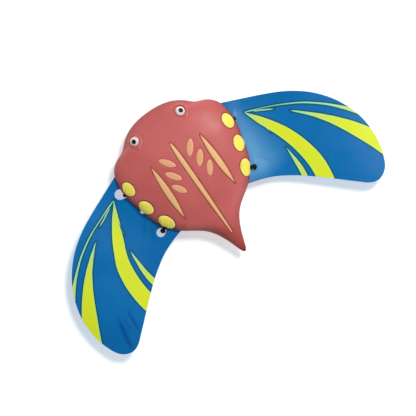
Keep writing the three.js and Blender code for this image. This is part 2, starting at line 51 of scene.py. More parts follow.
# ---------------------------------------------------------------------------------------------
# Dimensions, in millimetres, as in the CAD source. u is half-breadth, v is the station from nose to tail.
# ---------------------------------------------------------------------------------------------
Y_REF = 53.83
Z_PART, HULL_TOP, HULL_DEPTH, WALL, SEAM = 13.0, 21.0, 14.2, 2.3, 0.3
SLOT_FLOOR, SLOT_CEILING, ARM_BOTTOM, ARM_TOP = 11.9, 14.8, 14.0, 17.0
SHEET = 1.0
FLEX_A, FLEX_B = (83.0, 1.0), (66.5, 88.0)
PIVOT = (55.4, 38.5)
FRONT_SCREW, REAR_SCREW, NOSE_SCREW, TAIL_SCREW = (50.5, 11.5), (41.0, 57.0), (0.0, -17.0), (0.0, 87.0)
FRONT_PEG, REAR_PEG = (66.6, 15.2), (55.8, 66.1)
EYES, EYE_R, EYE_TILT_X, EYE_TILT_Y = {+1: (26.9, -21.6), -1: (27.9, -22.7)}, 5.3, 8.0, 22.0

OUTLINE = [
    (0, -40.2), (6, -40.0), (12, -39.4), (18, -38.2), (24, -36.4), (29.8, -33.6), (35.7, -29.6), (39.9, -25.8),
    (43.6, -22.4), (48.2, -20.1), (53.3, -18.0), (57.4, -15.4), (60.8, -12.2), (63.4, -8.6), (65.2, -4.6), (66.3, 0),
    (67.1, 5), (67.4, 10), (67.2, 15), (66.6, 20), (65.6, 26), (64.0, 32), (62.4, 38), (60.9, 44),
    (59.2, 50), (56.9, 56), (53.6, 62), (49.3, 68), (44.2, 74), (39.0, 78.3), (33.6, 82), (27.6, 86),
    (22.4, 90), (18.4, 94), (15.4, 98), (12.9, 102), (10.9, 106), (9.1, 110), (7.5, 114), (6.1, 118),
    (4.7, 122), (3.3, 126), (1.8, 129), (0, 130.4),
]
CROWN = [
    (-40.2, 0), (-39.6, 0.15), (-38, 0.28), (-35, 0.415), (-30, 0.56), (-24, 0.68), (-16, 0.79), (-6, 0.89),
    (6, 0.965), (20, 1), (36, 0.995), (50, 0.94), (62, 0.84), (74, 0.7), (86, 0.545), (98, 0.4),
    (110, 0.27), (120, 0.17), (127, 0.09), (129.6, 0.035), (130.4, 0),
]
WING_LEADING = [
    (57.5, -8.2), (62, -6.8), (66, -5.2), (72, -2.7), (80, 0.7), (90, 5.0), (100, 9.3), (110, 13.9), (120, 19.0),
    (130, 25.2), (140, 32.8), (147, 39.4), (154, 47.5), (160, 56.0), (165, 65.4), (169, 75.2), (171.6, 84),
    (173.0, 92), (173.5, 100), (173.4, 108), (172.6, 116), (171, 123.5),
]
WING_TRAILING = [
    (171, 123.5), (168.6, 130.4), (165, 138.4), (161, 143.4), (156, 146.7), (150.5, 148.1), (145, 147.1),
    (140, 144.4), (133, 138.3), (125, 131.2), (115, 122.1), (105, 113.2), (95, 104.7), (87, 98.4), (80, 93.6),
    (73, 89.0), (66, 85.2), (58, 81.8), (50, 79.0), (44, 77.3), (39.6, 76.1),
]
ROOT_INNER = [
    (39.6, 76.1), (41.4, 73.0), (45.8, 66), (48.6, 57), (50.6, 48), (51.2, 38.5), (53, 29), (55.4, 21), (56.2, 12),
    (56.6, 0), (57.5, -8.2),
]
HOLES = {  # keyholes: outer end, inner end, and the radius of each
    +1: [((66.6, 15.2), (65.8, 14.9), 2.4, 2.4), ((55.8, 66.1), (55.5, 66.1), 2.6, 2.6), ((60.1, 38.6), (59.8, 38.6), 1.8, 1.8)],
    -1: [((70.5, 11.7), (66.4, 15.0), 5.3, 3.0), ((58.8, 66.4), (55.6, 66.1), 4.4, 3.0), ((61.6, 38.6), (61.3, 38.6), 2.2, 2.2)],
}

# Printed stripes of each wing: the two borders of a stripe, from its point to where it runs off the sheet.
STRIPES = {
    +1: [
        # leading stripe, long and thin, with a short second line under it
        ([(79.3, 15.0), (85, 17.2), (90, 19.2), (100, 23.3), (110, 27.9), (120, 33.1), (130, 38.7), (140, 45.8), (150, 54.0), (155, 58.6), (160, 63.4), (165, 68.6), (171, 75.5)],
         [(79.6, 15.9), (85, 18.6), (90, 20.3), (100, 24.3), (110, 29.1), (120, 34.5), (130, 40.4), (140, 47.9), (150, 56.6), (155, 61.8), (160, 67.6), (165, 73.8), (172, 83.5)]),
        ([(87, 19.6), (92, 21.7), (98, 24.9), (103.5, 28.4), (105.5, 30.2)], [(87, 20.6), (91.5, 22.9), (97, 25.9), (102, 28.8), (105.5, 30.3)]),
        # second stripe
        ([(117.3, 40.2), (120, 42.0), (125, 46.2), (130, 50.8), (135, 55.3), (140, 59.9), (145, 65.0), (150, 70.0), (154.3, 75), (158.7, 80), (162.8, 85), (166.5, 90), (170, 95), (173, 99.6), (177, 106)],
         [(117.5, 40.7), (120, 43.8), (125, 49.2), (130, 54.9), (134.2, 60), (137.6, 65), (141, 70), (144, 75), (146.8, 80), (151.9, 90), (156.5, 100), (161, 110), (165.1, 120), (168.4, 129.2), (171.5, 138)]),
        # main stripe
        ([(79.3, 15.6), (82, 19.2), (85, 22.6), (90, 28.6), (95, 35.4), (100, 43.0), (105, 51.6), (108.8, 60), (112.3, 70), (114.9, 80), (116.8, 90), (117.4, 100), (116.8, 110), (115.2, 120), (113.5, 128)],
         [(78.7, 16.0), (80.2, 20.5), (82.2, 26.5), (84.6, 33.5), (87.4, 38.8), (89.6, 44.5), (92.6, 52), (95.4, 60), (98.3, 70), (100.2, 80), (101.4, 90), (101.7, 100), (100.6, 110.4), (99.2, 118)]),
        ([(84.3, 33.0), (86.4, 37.8), (88.0, 42.5), (89.3, 47.8)], [(86.2, 35.0), (87.4, 38.6), (88.9, 43.2), (89.5, 48)]),
        # small stripe at the trailing edge
        ([(93.0, 68.2), (92.8, 72), (92.4, 76), (91.9, 82), (91.2, 90), (90.4, 97), (89.4, 103)],
         [(93.3, 68.2), (93.9, 72), (94.3, 76), (95.1, 82), (95.6, 90), (95.4, 98), (93.6, 109)]),
    ],
    -1: [
        ([(79.0, 12.6), (85, 14.3), (90, 16.2), (100, 20.3), (110, 24.4), (120, 28.9), (130, 34.6), (140, 41.3), (150, 49.4), (155, 53.7), (160, 58.2), (166, 63.6)],
         [(79.6, 13.7), (85, 15.8), (90, 17.6), (100, 21.5), (110, 25.6), (120, 30.4), (130, 36.4), (140, 43.4), (150, 52.2), (155, 57.2), (160, 62.9), (165, 69.2), (171, 77.5)]),
        ([(87, 17.0), (92, 19.1), (98, 22.3), (104, 25.2), (107, 26.9)], [(87, 18.0), (92, 20.5), (97, 23.2), (102.5, 25.6), (107, 27.0)]),
        ([(116.6, 36.6), (120, 38.2), (125, 41.9), (130, 45.4), (135, 49.6), (140, 53.6), (145, 58.2), (150, 63), (155, 68.5), (160.6, 75), (164.6, 80), (168.3, 85), (171.8, 90), (174.5, 94.5), (178, 100)],
         [(116.8, 37.1), (120, 39.7), (125, 44.9), (130, 50.4), (135, 56.3), (138, 60), (141.2, 65), (144.3, 70), (147.3, 75), (150, 80), (155, 90), (159.8, 100), (164.6, 110), (169.2, 120), (170.6, 123.4), (174, 131)]),
        ([(79.4, 13.4), (82, 16.8), (85, 20.4), (90, 26.2), (95, 33), (100, 40.4), (105, 48.8), (110.6, 60), (115, 70), (117.2, 80), (118.4, 90), (118.5, 100), (117.8, 110), (116.1, 120.6), (114.5, 128)],
         [(78.8, 13.8), (80.4, 17.2), (82.2, 22.2), (85, 29.4), (88.4, 36.6), (91, 44.6), (94, 52.6), (97.3, 60), (100.6, 70), (102.1, 80), (102.8, 90), (102.5, 100), (101.5, 108.6), (100.2, 116)]),
        ([(85.0, 30.5), (86.6, 35.0), (88.6, 41.0), (90.2, 47.4)], [(87.4, 35.0), (88.3, 38.6), (89.8, 43.6), (90.5, 47.6)]),
        ([(94.0, 63.4), (94.9, 67), (95.4, 70), (96.2, 79), (96.8, 90), (96.3, 99), (94.8, 107)],
         [(93.8, 63.4), (93.8, 67), (93.6, 70), (92.9, 79), (92.0, 90), (90.3, 99), (88.9, 105)]),
    ],
}

MIDDLE_RIB = [(0.8, -0.8), (1.7, 3), (2.3, 9), (2.7, 20), (2.7, 42), (2.55, 56), (2.25, 70), (1.8, 86), (1.3, 99), (0.7, 107)]
SIDE_RIB = [
    (29.3, 8), (30.5, 12), (31.8, 20), (32.8, 30), (33.2, 41), (33.0, 50), (32.2, 59), (31.3, 65), (30.4, 69.4),
    (29.5, 65), (28.2, 59), (26.8, 50), (26.3, 41), (26.3, 30), (27.1, 20), (28.3, 12),
]
LEAVES = [  # ends and width, right-hand side first
    ((8.4, 21.1), (19.5, 6.4), 7.2), ((10.8, 35.0), (21.4, 20.4), 7.3), ((14.2, 48.4), (23.1, 34.4), 6.8),
    ((-8.1, 21.1), (-19.2, 6.4), 6.9), ((-10.7, 35.2), (-21.3, 20.6), 6.9), ((-13.7, 48.5), (-23.0, 34.6), 6.5),
]
OVALS = [  # centre, half-axes, lean of the long axis outward at the front, degrees
    ((60.6, 13.2), 5.0, 8.0, 2), ((56.8, 37.9), 5.1, 8.3, 21), ((48.5, 61.8), 5.2, 8.9, 27),
    ((-60.3, 12.8), 5.1, 7.9, 6), ((-56.5, 37.8), 5.3, 8.3, 20), ((-48.0, 61.3), 5.3, 8.9, 27),
]


# ---------------------------------------------------------------------------------------------
# Curves and distances
# ---------------------------------------------------------------------------------------------
def spline(points, step, closed=False):
    """Centripetal Catmull-Rom through the points, resampled about step apart."""
    p = np.array(points, float)
    n = len(p)
    if closed:
        ext = np.vstack([p[-1], p, p[0], p[1]])
        spans = n
    else:
        ext = np.vstack([2 * p[0] - p[1], p, 2 * p[-1] - p[-2]])
        spans = n - 1
    out = []
    for i in range(spans):
        p0, p1, p2, p3 = ext[i:i + 4]
        d = [max(1e-6, np.linalg.norm(b - a)) ** 0.5 for a, b in ((p0, p1), (p1, p2), (p2, p3))]
        t0, t1 = 0.0, d[0]
        t2, t3 = t1 + d[1], t1 + d[1] + d[2]
        m = max(2, int(np.linalg.norm(p2 - p1) / step * 3) + 1)
        t = np.linspace(t1, t2, m, endpoint=False)[:, None]
        a1 = (t1 - t) / (t1 - t0) * p0 + (t - t0) / (t1 - t0) * p1
        a2 = (t2 - t) / (t2 - t1) * p1 + (t - t1) / (t2 - t1) * p2
        a3 = (t3 - t) / (t3 - t2) * p2 + (t - t2) / (t3 - t2) * p3
        b1 = (t2 - t) / (t2 - t0) * a1 + (t - t0) / (t2 - t0) * a2
        b2 = (t3 - t) / (t3 - t1) * a2 + (t - t1) / (t3 - t1) * a3
        out.append((t2 - t) / (t2 - t1) * b1 + (t - t1) / (t2 - t1) * b2)
    q = np.vstack(out + [p[:1] if closed else p[-1:]])
    seg = np.linalg.norm(np.diff(q, axis=0), axis=1)
    acc = np.concatenate([[0], np.cumsum(seg)])
    k = max(2, int(round(acc[-1] / step)) + 1)
    want = np.linspace(0, acc[-1], k)
    r = np.stack([np.interp(want, acc, q[:, 0]), np.interp(want, acc, q[:, 1])], 1)
    return r[:-1] if closed else r


def signed_distance(pts, poly, reach=6.0):
    """Distance from each point to a closed outline, below zero inside; reach beyond it."""
    poly = np.asarray(poly, float)
    out = np.full(len(pts), reach)
    lo, hi = poly.min(0) - reach, poly.max(0) + reach
    near = np.where(np.all((pts > lo) & (pts < hi), axis=1))[0]
    a, b = poly, np.roll(poly, -1, axis=0)
    ab = b - a
    ll = np.maximum((ab ** 2).sum(1), 1e-12)
    for s in range(0, len(near), 3000):
        idx = near[s:s + 3000]
        p = pts[idx]
        ap = p[:, None, :] - a[None]
        t = np.clip((ap * ab[None]).sum(2) / ll[None], 0, 1)
        d2 = ((ap - t[..., None] * ab[None]) ** 2).sum(2).min(1)
        up = (a[None, :, 1] > p[:, None, 1]) != (b[None, :, 1] > p[:, None, 1])
        dy = np.where(ab[:, 1] == 0, 1e-12, ab[:, 1])
        x = a[None, :, 0] + (p[:, None, 1] - a[None, :, 1]) * (ab[:, 0] / dy)[None]
        inside = ((up & (p[:, None, 0] < x)).sum(1) % 2) == 1
        out[idx] = np.minimum(reach, np.sqrt(d2)) * np.where(inside, -1, 1)
    return out


def smooth(lo, hi, x):
    t = np.clip((x - lo) / (hi - lo), 0, 1)
    return t * t * (3 - 2 * t)


def capsule(a, b, r, n=24):
    a, b = np.array(a, float), np.array(b, float)
    t = math.atan2(b[1] - a[1], b[0] - a[0])
    w = np.linspace(-math.pi / 2, math.pi / 2, n)
    one = b + r * np.stack([np.cos(t + w), np.sin(t + w)], 1)
    two = a + r * np.stack([np.cos(t + math.pi + w), np.sin(t + math.pi + w)], 1)
    return np.vstack([one, two])


def keyhole(a, b, ra, rb, n=26):
    """Outline round two circles of different size."""
    a, b = np.array(a, float), np.array(b, float)
    t = math.atan2(a[1] - b[1], a[0] - b[0])
    lean = math.acos(max(-1.0, min(1.0, (rb - ra) / np.linalg.norm(a - b))))
    w = np.linspace(-lean, lean, n)
    one = a + ra * np.stack([np.cos(t + w), np.sin(t + w)], 1)
    w = np.linspace(lean, 2 * math.pi - lean, n)
    two = b + rb * np.stack([np.cos(t + w), np.sin(t + w)], 1)
    return np.vstack([one, two])


def leaf(a, b, width, n=28):
    """A pointed oval from a to b."""
    a, b = np.array(a, float), np.array(b, float)
    d = b - a
    length = np.linalg.norm(d)
    d /= length
    side = np.array([-d[1], d[0]])
    t = (1 - np.cos(np.linspace(0, math.pi, n))) / 2
    w = width / 2 * (4 * t * (1 - t)) ** 0.56
    up = a + d * (t * length)[:, None] + side * w[:, None]
    down = a + d * (t * length)[:, None] - side * w[:, None]
    return np.vstack([up, down[-2:0:-1]])


def ellipse(c, rx, ry, lean, n=72):
    w = np.linspace(0, 2 * math.pi, n, endpoint=False)
    k = math.radians(lean) * (1 if c[0] > 0 else -1)
    x, y = rx * np.cos(w), ry * np.sin(w)
    return np.stack([c[0] + x * math.cos(k) - y * math.sin(k), c[1] + x * math.sin(k) + y * math.cos(k)], 1)


# ---------------------------------------------------------------------------------------------
# Hull surfaces
# ---------------------------------------------------------------------------------------------
FINE = spline(OUTLINE, 0.25)


def breadth(v):
    """Half-breadth of the hull at a station."""
    v = np.asarray(v, float)
    order = FINE[:, 1].argsort()
    return np.maximum(np.interp(v, FINE[order, 1], FINE[order, 0], left=0, right=0), 1e-4)


def monotone(table):
    x, f = np.array(table, float).T
    d = np.diff(f) / np.diff(x)
    m = np.concatenate([[d[0]], np.where(d[:-1] * d[1:] <= 0, 0, 2 * d[:-1] * d[1:] / np.where(d[:-1] + d[1:] == 0, 1, d[:-1] + d[1:])), [d[-1]]])

    def at(q):
        q = np.clip(np.asarray(q, float), x[0], x[-1])
        i = np.clip(np.searchsorted(x, q, side="right") - 1, 0, len(x) - 2)
        h = x[i + 1] - x[i]
        t = (q - x[i]) / h
        return (f[i] * (1 + 2 * t) * (1 - t) ** 2 + m[i] * h * t * (1 - t) ** 2
                + f[i + 1] * t * t * (3 - 2 * t) + m[i + 1] * h * t * t * (t - 1))
    return at


crown = monotone(CROWN)


def swell(t):
    return np.sqrt(np.maximum(0, 1 - np.minimum(1, np.abs(t)) ** 2.6))


def skin_up(u, v):
    return Z_PART + SEAM / 2 + HULL_TOP * crown(v) * swell(u / breadth(v))


def skin_down(u, v):
    """Lower skin, with the belly's flat faded in over a small radius."""
    z = Z_PART - SEAM / 2 - HULL_DEPTH * np.maximum(crown(v), 0) ** 0.92 * swell(u / breadth(v))
    k = 0.5
    return 0.5 * (z + np.sqrt(z * z + k * k)) - 0.0 * k


def to_row(u, v, z):
    return np.stack([u, Y_REF - v, z], -1) * MM


# ---------------------------------------------------------------------------------------------
# Mesh helpers
# ---------------------------------------------------------------------------------------------
def mesh_object(name, verts, faces, mats=(), smooth_all=True):
    me = bpy.data.meshes.new(name)
    me.from_pydata([tuple(p) for p in verts], [], [tuple(int(i) for i in f) for f in faces])
    me.validate()
    me.update()
    for m in mats:
        me.materials.append(m)
    if smooth_all:
        me.polygons.foreach_set("use_smooth", [True] * len(me.polygons))
    o = bpy.data.objects.new(name, me)
    bpy.context.scene.collection.objects.link(o)
    return o


def put_attribute(o, name, values):
    a = o.data.attributes.new(name, "FLOAT", "POINT")
    a.data.foreach_set("value", np.asarray(values, np.float32))


def face_out(o):
    bm = bmesh.new()
    bm.from_mesh(o.data)
    bmesh.ops.recalc_face_normals(bm, faces=bm.faces)
    bm.to_mesh(o.data)
    bm.free()
    return o


def apply_modifiers(o):
    dg = bpy.context.evaluated_depsgraph_get()
    new = bpy.data.meshes.new_from_object(o.evaluated_get(dg), preserve_all_data_layers=True, depsgraph=dg)
    old = o.data
    o.modifiers.clear()
    o.data = new
    bpy.data.meshes.remove(old)
    return o


def cut(o, cutter, operation="DIFFERENCE"):
    m = o.modifiers.new("cut", "BOOLEAN")
    m.operation, m.solver, m.object = operation, "EXACT", cutter
    apply_modifiers(o)
    me = cutter.data
    bpy.data.objects.remove(cutter)
    bpy.data.meshes.remove(me)
    return o


def soft_edges(o, degrees=35):
    """Smooth shading, with edges sharper than this left crisp."""
    bm = bmesh.new()
    bm.from_mesh(o.data)
    for f in bm.faces:
        f.smooth = True
    limit = math.radians(degrees)
    for e in bm.edges:
        e.smooth = not (len(e.link_faces) == 2 and e.calc_face_angle(0) > limit)
    bm.to_mesh(o.data)
    bm.free()
    return o


def revolve(name, profile, n, centre=(0, 0), mats=()):
    """Closed body of revolution about Z from [r, z] pairs that begin and end on the axis."""
    prof = [p for p in profile]
    verts, rings = [], []
    for r, z in prof:
        if r < 1e-6:
            verts.append((centre[0] * MM, centre[1] * MM, z * MM))
            rings.append([len(verts) - 1])
        else:
            ring = []
            for i in range(n):
                w = 2 * math.pi * i / n
                verts.append(((centre[0] + r * math.cos(w)) * MM, (centre[1] + r * math.sin(w)) * MM, z * MM))
                ring.append(len(verts) - 1)
            rings.append(ring)
    faces = []
    for a, b in zip(rings, rings[1:]):
        for i in range(n):
            j = (i + 1) % n
            if len(a) == 1 and len(b) == 1:
                continue
            if len(a) == 1:
                faces.append((a[0], b[j], b[i]))
            elif len(b) == 1:
                faces.append((a[i], a[j], b[0]))
            else:
                faces.append((a[i], a[j], b[j], b[i]))
    return face_out(mesh_object(name, verts, faces, mats))


def prism(name, outline, z0, z1, mats=()):
    """A straight-sided body from an outline in row millimetres."""
    n = len(outline)
    verts = [(x * MM, y * MM, z * MM) for z in (z0, z1) for x, y in outline]
    faces = [tuple(range(n))[::-1], tuple(range(n, 2 * n))] + [(i, (i + 1) % n, n + (i + 1) % n, n + i) for i in range(n)]
    return face_out(mesh_object(name, verts, faces, mats, smooth_all=False))


def bevelled(o, width, segments=3, angle=30):
    m = o.modifiers.new("edge", "BEVEL")
    m.width, m.segments, m.limit_method, m.angle_limit = width * MM, segments, "ANGLE", math.radians(angle)
    m.use_clamp_overlap = True
    apply_modifiers(o)
    return o


# ---------------------------------------------------------------------------------------------
# Materials
# ---------------------------------------------------------------------------------------------
def srgb(r, g, b):
    f = lambda c: (c / 255 / 12.92) if c / 255 <= 0.04045 else ((c / 255 + 0.055) / 1.055) ** 2.4
    return (f(r), f(g), f(b), 1.0)


class Nodes:
    """A short way to write node trees."""

    def __init__(self, name):
        self.mat = bpy.data.materials.new(name)
        self.mat.use_nodes = True
        self.t = self.mat.node_tree
        self.t.nodes.clear()
        self.out = self.t.nodes.new("ShaderNodeOutputMaterial")
        self.bsdf = self.t.nodes.new("ShaderNodeBsdfPrincipled")
        self.link(self.bsdf.outputs[0], self.out.inputs[0])
        self.coord = None

    def link(self, a, b):
        self.t.links.new(a, b)

    def place(self):
        if self.coord is None:
            self.coord = self.t.nodes.new("ShaderNodeTexCoord").outputs["Object"]
        return self.coord

    def set(self, node, key, value):
        if hasattr(value, "is_output"):
            self.link(value, node.inputs[key])
        else:
            node.inputs[key].default_value = value

    def attr(self, name):
        n = self.t.nodes.new("ShaderNodeAttribute")
        n.attribute_name = name
        return n.outputs["Fac"]

    def math(self, op, a, b=0.0, c=0.0, clamp=False):
        n = self.t.nodes.new("ShaderNodeMath")
        n.operation, n.use_clamp = op, clamp
        for i, x in enumerate((a, b, c)):
            self.set(n, i, x)
        return n.outputs[0]

    def ramp(self, x, lo, hi, a=0.0, b=1.0):
        """Smoothly from a at lo to b at hi."""
        n = self.t.nodes.new("ShaderNodeMapRange")
        n.interpolation_type = "SMOOTHSTEP"
        for k, val in (("Value", x), ("From Min", lo), ("From Max", hi), ("To Min", a), ("To Max", b)):
            self.set(n, k, val)
        return n.outputs[0]

    def noise(self, scale, detail=2.0, rough=0.5, stretch=None, offset=(0, 0, 0), kind="noise"):
        src = self.place()
        if stretch is not None or offset != (0, 0, 0):
            m = self.t.nodes.new("ShaderNodeMapping")
            self.link(src, m.inputs["Vector"])
            m.inputs["Location"].default_value = offset
            m.inputs["Scale"].default_value = stretch or (1, 1, 1)
            src = m.outputs[0]
        n = self.t.nodes.new("ShaderNodeTexNoise")
        self.link(src, n.inputs["Vector"])
        n.inputs["Scale"].default_value = scale
        n.inputs["Detail"].default_value = detail
        n.inputs["Roughness"].default_value = rough
        return n.outputs["Fac"]

    def voronoi(self, scale, feature="F1", out="Distance"):
        n = self.t.nodes.new("ShaderNodeTexVoronoi")
        n.feature = feature
        self.link(self.place(), n.inputs["Vector"])
        n.inputs["Scale"].default_value = scale
        return n.outputs[out]

    def mix(self, fac, a, b, mode="MIX"):
        n = self.t.nodes.new("ShaderNodeMix")
        n.data_type, n.blend_type = "RGBA", mode
        self.set(n, 0, fac)
        self.set(n, 6, a)
        self.set(n, 7, b)
        return n.outputs[2]

    def bump(self, height, strength, distance, normal=None):
        n = self.t.nodes.new("ShaderNodeBump")
        n.inputs["Strength"].default_value = strength
        n.inputs["Distance"].default_value = distance
        self.link(height, n.inputs["Height"])
        if normal is not None:
            self.link(normal, n.inputs["Normal"])
        return n.outputs[0]

    def finish(self, color, rough, normal=None, **fixed):
        self.set(self.bsdf, "Base Color", color)
        self.set(self.bsdf, "Roughness", rough)
        if normal is not None:
            self.link(normal, self.bsdf.inputs["Normal"])
        for k, v in fixed.items():
            self.bsdf.inputs[k.replace("_", " ")].default_value = v
        return self.mat


def hull_material(name, painted):
    """Red moulded shell with a satin painted skin. Painted relief comes from the distances stored on the mesh; painted
    shade darkens its flanks, its rim and the grooves round the relief.
    """
    n = Nodes(name)
    cloud = n.noise(26, 3, 0.55)
    fine = n.noise(420, 2, 0.5)
    red = n.mix(n.ramp(cloud, 0.32, 0.68), srgb(192, 92, 89), srgb(200, 101, 99))
    red = n.mix(n.ramp(fine, 0.58, 0.8, 0.0, 0.10), red, srgb(222, 128, 118))
    # painted shade: the red is darkened towards the parting line further down
    rough = n.ramp(n.noise(60, 3, 0.6), 0.3, 0.7, 0.42, 0.52)
    color = red
    grain = n.noise(1500, 2, 0.6)
    if painted:
        edge = n.attr("edge")
        # painted shade: darker red on the steep flanks near the rim, a dark line at the silhouette, and more on the
        # left of the tail and at the nose
        color = n.mix(n.ramp(edge, 0.0, 10.5, 0.6, 0.0), color, srgb(138, 34, 24))
        color = n.mix(n.ramp(edge, 0.1, 3.0, 0.75, 0.0), color, srgb(96, 22, 18))
        color = n.mix(n.math("MULTIPLY", n.ramp(edge, 0.3, 12.0, 0.9, 0.0), n.attr("ends")), color, srgb(108, 14, 4))
        wobble = n.math("MULTIPLY", n.math("SUBTRACT", n.noise(380, 2, 0.5), 0.5), 0.16)
        rib = n.math("ADD", n.attr("sd_rib"), wobble)
        leafs = n.math("ADD", n.attr("sd_leaf"), wobble)
        oval = n.math("ADD", n.attr("sd_oval"), wobble)
        # painted shade: dark brown in the grooves round each raised shape, patchy by a noise
        groove_shade_noise = n.noise(150, 3, 0.6)
        g1 = n.math("MULTIPLY", n.ramp(rib, 1.35, 0.3), n.ramp(groove_shade_noise, 0.25, 0.6, 0.6, 1.0))
        g2 = n.math("MULTIPLY", n.ramp(leafs, 0.9, 0.0), n.ramp(groove_shade_noise, 0.25, 0.6, 0.35, 0.75))
        g3 = n.ramp(oval, 1.35, 0.5)
        color = n.mix(n.math("MULTIPLY", g1, 0.84), color, srgb(138, 76, 38))
        color = n.mix(n.math("MULTIPLY", g2, 0.62), color, srgb(136, 72, 40))
        color = n.mix(n.math("MULTIPLY", g3, 0.93), color, srgb(118, 58, 14))
        tan = n.mix(n.ramp(rib, -0.35, -1.9), srgb(240, 164, 126), srgb(232, 188, 128))
        color = n.mix(n.ramp(rib, -0.15, -0.6), color, tan)
        tan2 = n.mix(n.ramp(leafs, -0.3, -2.0), srgb(240, 160, 132), srgb(224, 172, 122))
        color = n.mix(n.ramp(leafs, 0.0, -0.3), color, tan2)
        # painted highlight: each yellow oval is paler towards its rim
        yellow = n.mix(n.ramp(oval, -0.2, -3.2), srgb(250, 230, 126), srgb(248, 235, 90))
        yellow = n.mix(n.ramp(n.noise(90, 2, 0.5), 0.4, 0.75, 0.0, 0.35), yellow, srgb(244, 214, 78))
        color = n.mix(n.ramp(oval, 0.32, 0.1), color, yellow)
        painted_area = n.math("MAXIMUM", n.ramp(rib, 0.05, -0.16), n.math("MAXIMUM", n.ramp(leafs, 0.05, -0.16), n.ramp(oval, 0.32, 0.1)))
        rough = n.math("SUBTRACT", rough, n.math("MULTIPLY", painted_area, 0.09))
    # small handling scuffs
    scuff = n.noise(95, 4, 0.7, stretch=(1, 0.16, 1), offset=(0.3, 0.7, 0.1))
    mark = n.ramp(scuff, 0.68, 0.76, 0.0, 0.22)
    color = n.mix(mark, color, srgb(226, 158, 148)) if not painted else n.mix(n.math("MULTIPLY", mark, 0.35), color, srgb(226, 150, 142))
    rough = n.math("ADD", rough, n.math("MULTIPLY", mark, 0.25))
    normal = n.bump(n.noise(170, 3, 0.55), 0.10, 0.0006)
    normal = n.bump(grain, 0.18, 0.00018, normal)
    return n.finish(color, rough, normal, Specular_IOR_Level=0.26, Coat_Weight=0.04, Coat_Roughness=0.3)


def sheet_material(name, printed, side=1):
    """Printed flexible sheet: blue ink with stripes under a clear, slightly uneven gloss, with painted sheen by the
    hull and painted shade in the creases.
    """
    n = Nodes(name)
    cloud = n.noise(16, 4, 0.6)
    patch = n.noise(55, 3, 0.55, offset=(0.4 * side, 0.2, 0))
    blue = n.mix(n.ramp(cloud, 0.3, 0.7), srgb(0, 106, 172), srgb(0, 112, 180))
    blue = n.mix(n.ramp(patch, 0.5, 0.78, 0.0, 0.4), blue, srgb(0, 101, 188))
    blue = n.mix(n.ramp(patch, 0.42, 0.22, 0.0, 0.3), blue, srgb(2, 110, 168))
    color = blue
    if printed:
        # painted sheen: a lighter patch of the blue by the hull, and painted shade: darker blue in the creases
        color = n.mix(n.attr("root_sheen"), color, srgb(112, 178, 226))
        color = n.mix(n.math("MULTIPLY", n.attr("crease"), 0.8), color, srgb(0, 74, 148))
        wobble = n.math("MULTIPLY", n.math("SUBTRACT", n.noise(260, 2, 0.5), 0.5), 0.12)
        sd = n.math("ADD", n.attr("sd_stripe"), wobble)
        wide = n.attr("width")
        # a soft dark overprint round each stripe, then a pale border, then the yellow
        color = n.mix(n.ramp(sd, 2.6, 0.9, 0.0, 0.55), color, srgb(8, 88, 112))
        color = n.mix(n.ramp(sd, 1.5, 0.3, 0.0, 0.95), color, srgb(10, 74, 76))
        pale = n.mix(n.ramp(wide, 0.5, 2.6), srgb(152, 224, 190), srgb(198, 238, 118))
        pale = n.mix(n.ramp(wide, 0.15, 0.75), srgb(84, 172, 196), pale)
        core = n.mix(n.ramp(wide, 1.2, 5.6), srgb(194, 228, 112), srgb(226, 236, 46))
        core = n.mix(n.ramp(n.noise(46, 3, 0.5), 0.4, 0.7, 0.0, 0.5), core, srgb(208, 234, 52))
        core = n.mix(n.ramp(n.noise(130, 2, 0.5), 0.58, 0.8, 0.0, 0.4), core, srgb(234, 228, 44))
        fill = n.mix(n.ramp(sd, -0.6, -1.7), pale, core)
        color = n.mix(n.ramp(sd, 0.16, -0.12), color, fill)
        # halftone of the print, only just visible
        dots = n.voronoi(1700)
        color = n.mix(n.ramp(dots, 0.2, 0.42, 0.012, 0.0), color, srgb(220, 240, 255))
    else:
        color = n.mix(0.25, color, srgb(6, 82, 150))
    scratch = n.noise(70, 5, 0.75, stretch=(1.0, 0.12, 1.0), offset=(0.2, 0.9, 0))
    lines = n.ramp(scratch, 0.66, 0.74)
    rough = n.ramp(n.noise(34, 3, 0.6), 0.3, 0.7, 0.24, 0.34)
    rough = n.math("ADD", rough, n.math("MULTIPLY", lines, 0.12))
    normal = n.bump(n.noise(24, 2, 0.5), 0.18, 0.0016)
    if printed:
        ink = n.ramp(n.attr("sd_stripe"), 0.15, -0.15)
        normal = n.bump(ink, 0.25, 0.00005, normal)
    normal = n.bump(n.noise(900, 2, 0.5), 0.08, 0.0001, normal)
    return n.finish(color, rough, normal, Specular_IOR_Level=0.36, Coat_Weight=0.08, Coat_Roughness=0.12)


def edge_material():
    """Cut edge of the sheet: paler, slightly rough blue."""
    n = Nodes("sheet_edge")
    color = n.mix(n.ramp(n.noise(300, 3, 0.6), 0.35, 0.65), srgb(20, 96, 150), srgb(70, 140, 190))
    normal = n.bump(n.noise(1200, 3, 0.6), 0.4, 0.0002)
    return n.finish(color, n.ramp(n.noise(500, 2, 0.5), 0.3, 0.7, 0.45, 0.6), normal)


def black_material():
    n = Nodes("black_nylon")
    color = n.mix(n.ramp(n.noise(240, 3, 0.6), 0.3, 0.75), srgb(6, 7, 9), srgb(18, 19, 22))
    rough = n.ramp(n.noise(420, 3, 0.6), 0.3, 0.7, 0.42, 0.56)
    normal = n.bump(n.noise(2200, 2, 0.6), 0.25, 0.00015)
    return n.finish(color, rough, normal, Specular_IOR_Level=0.16)


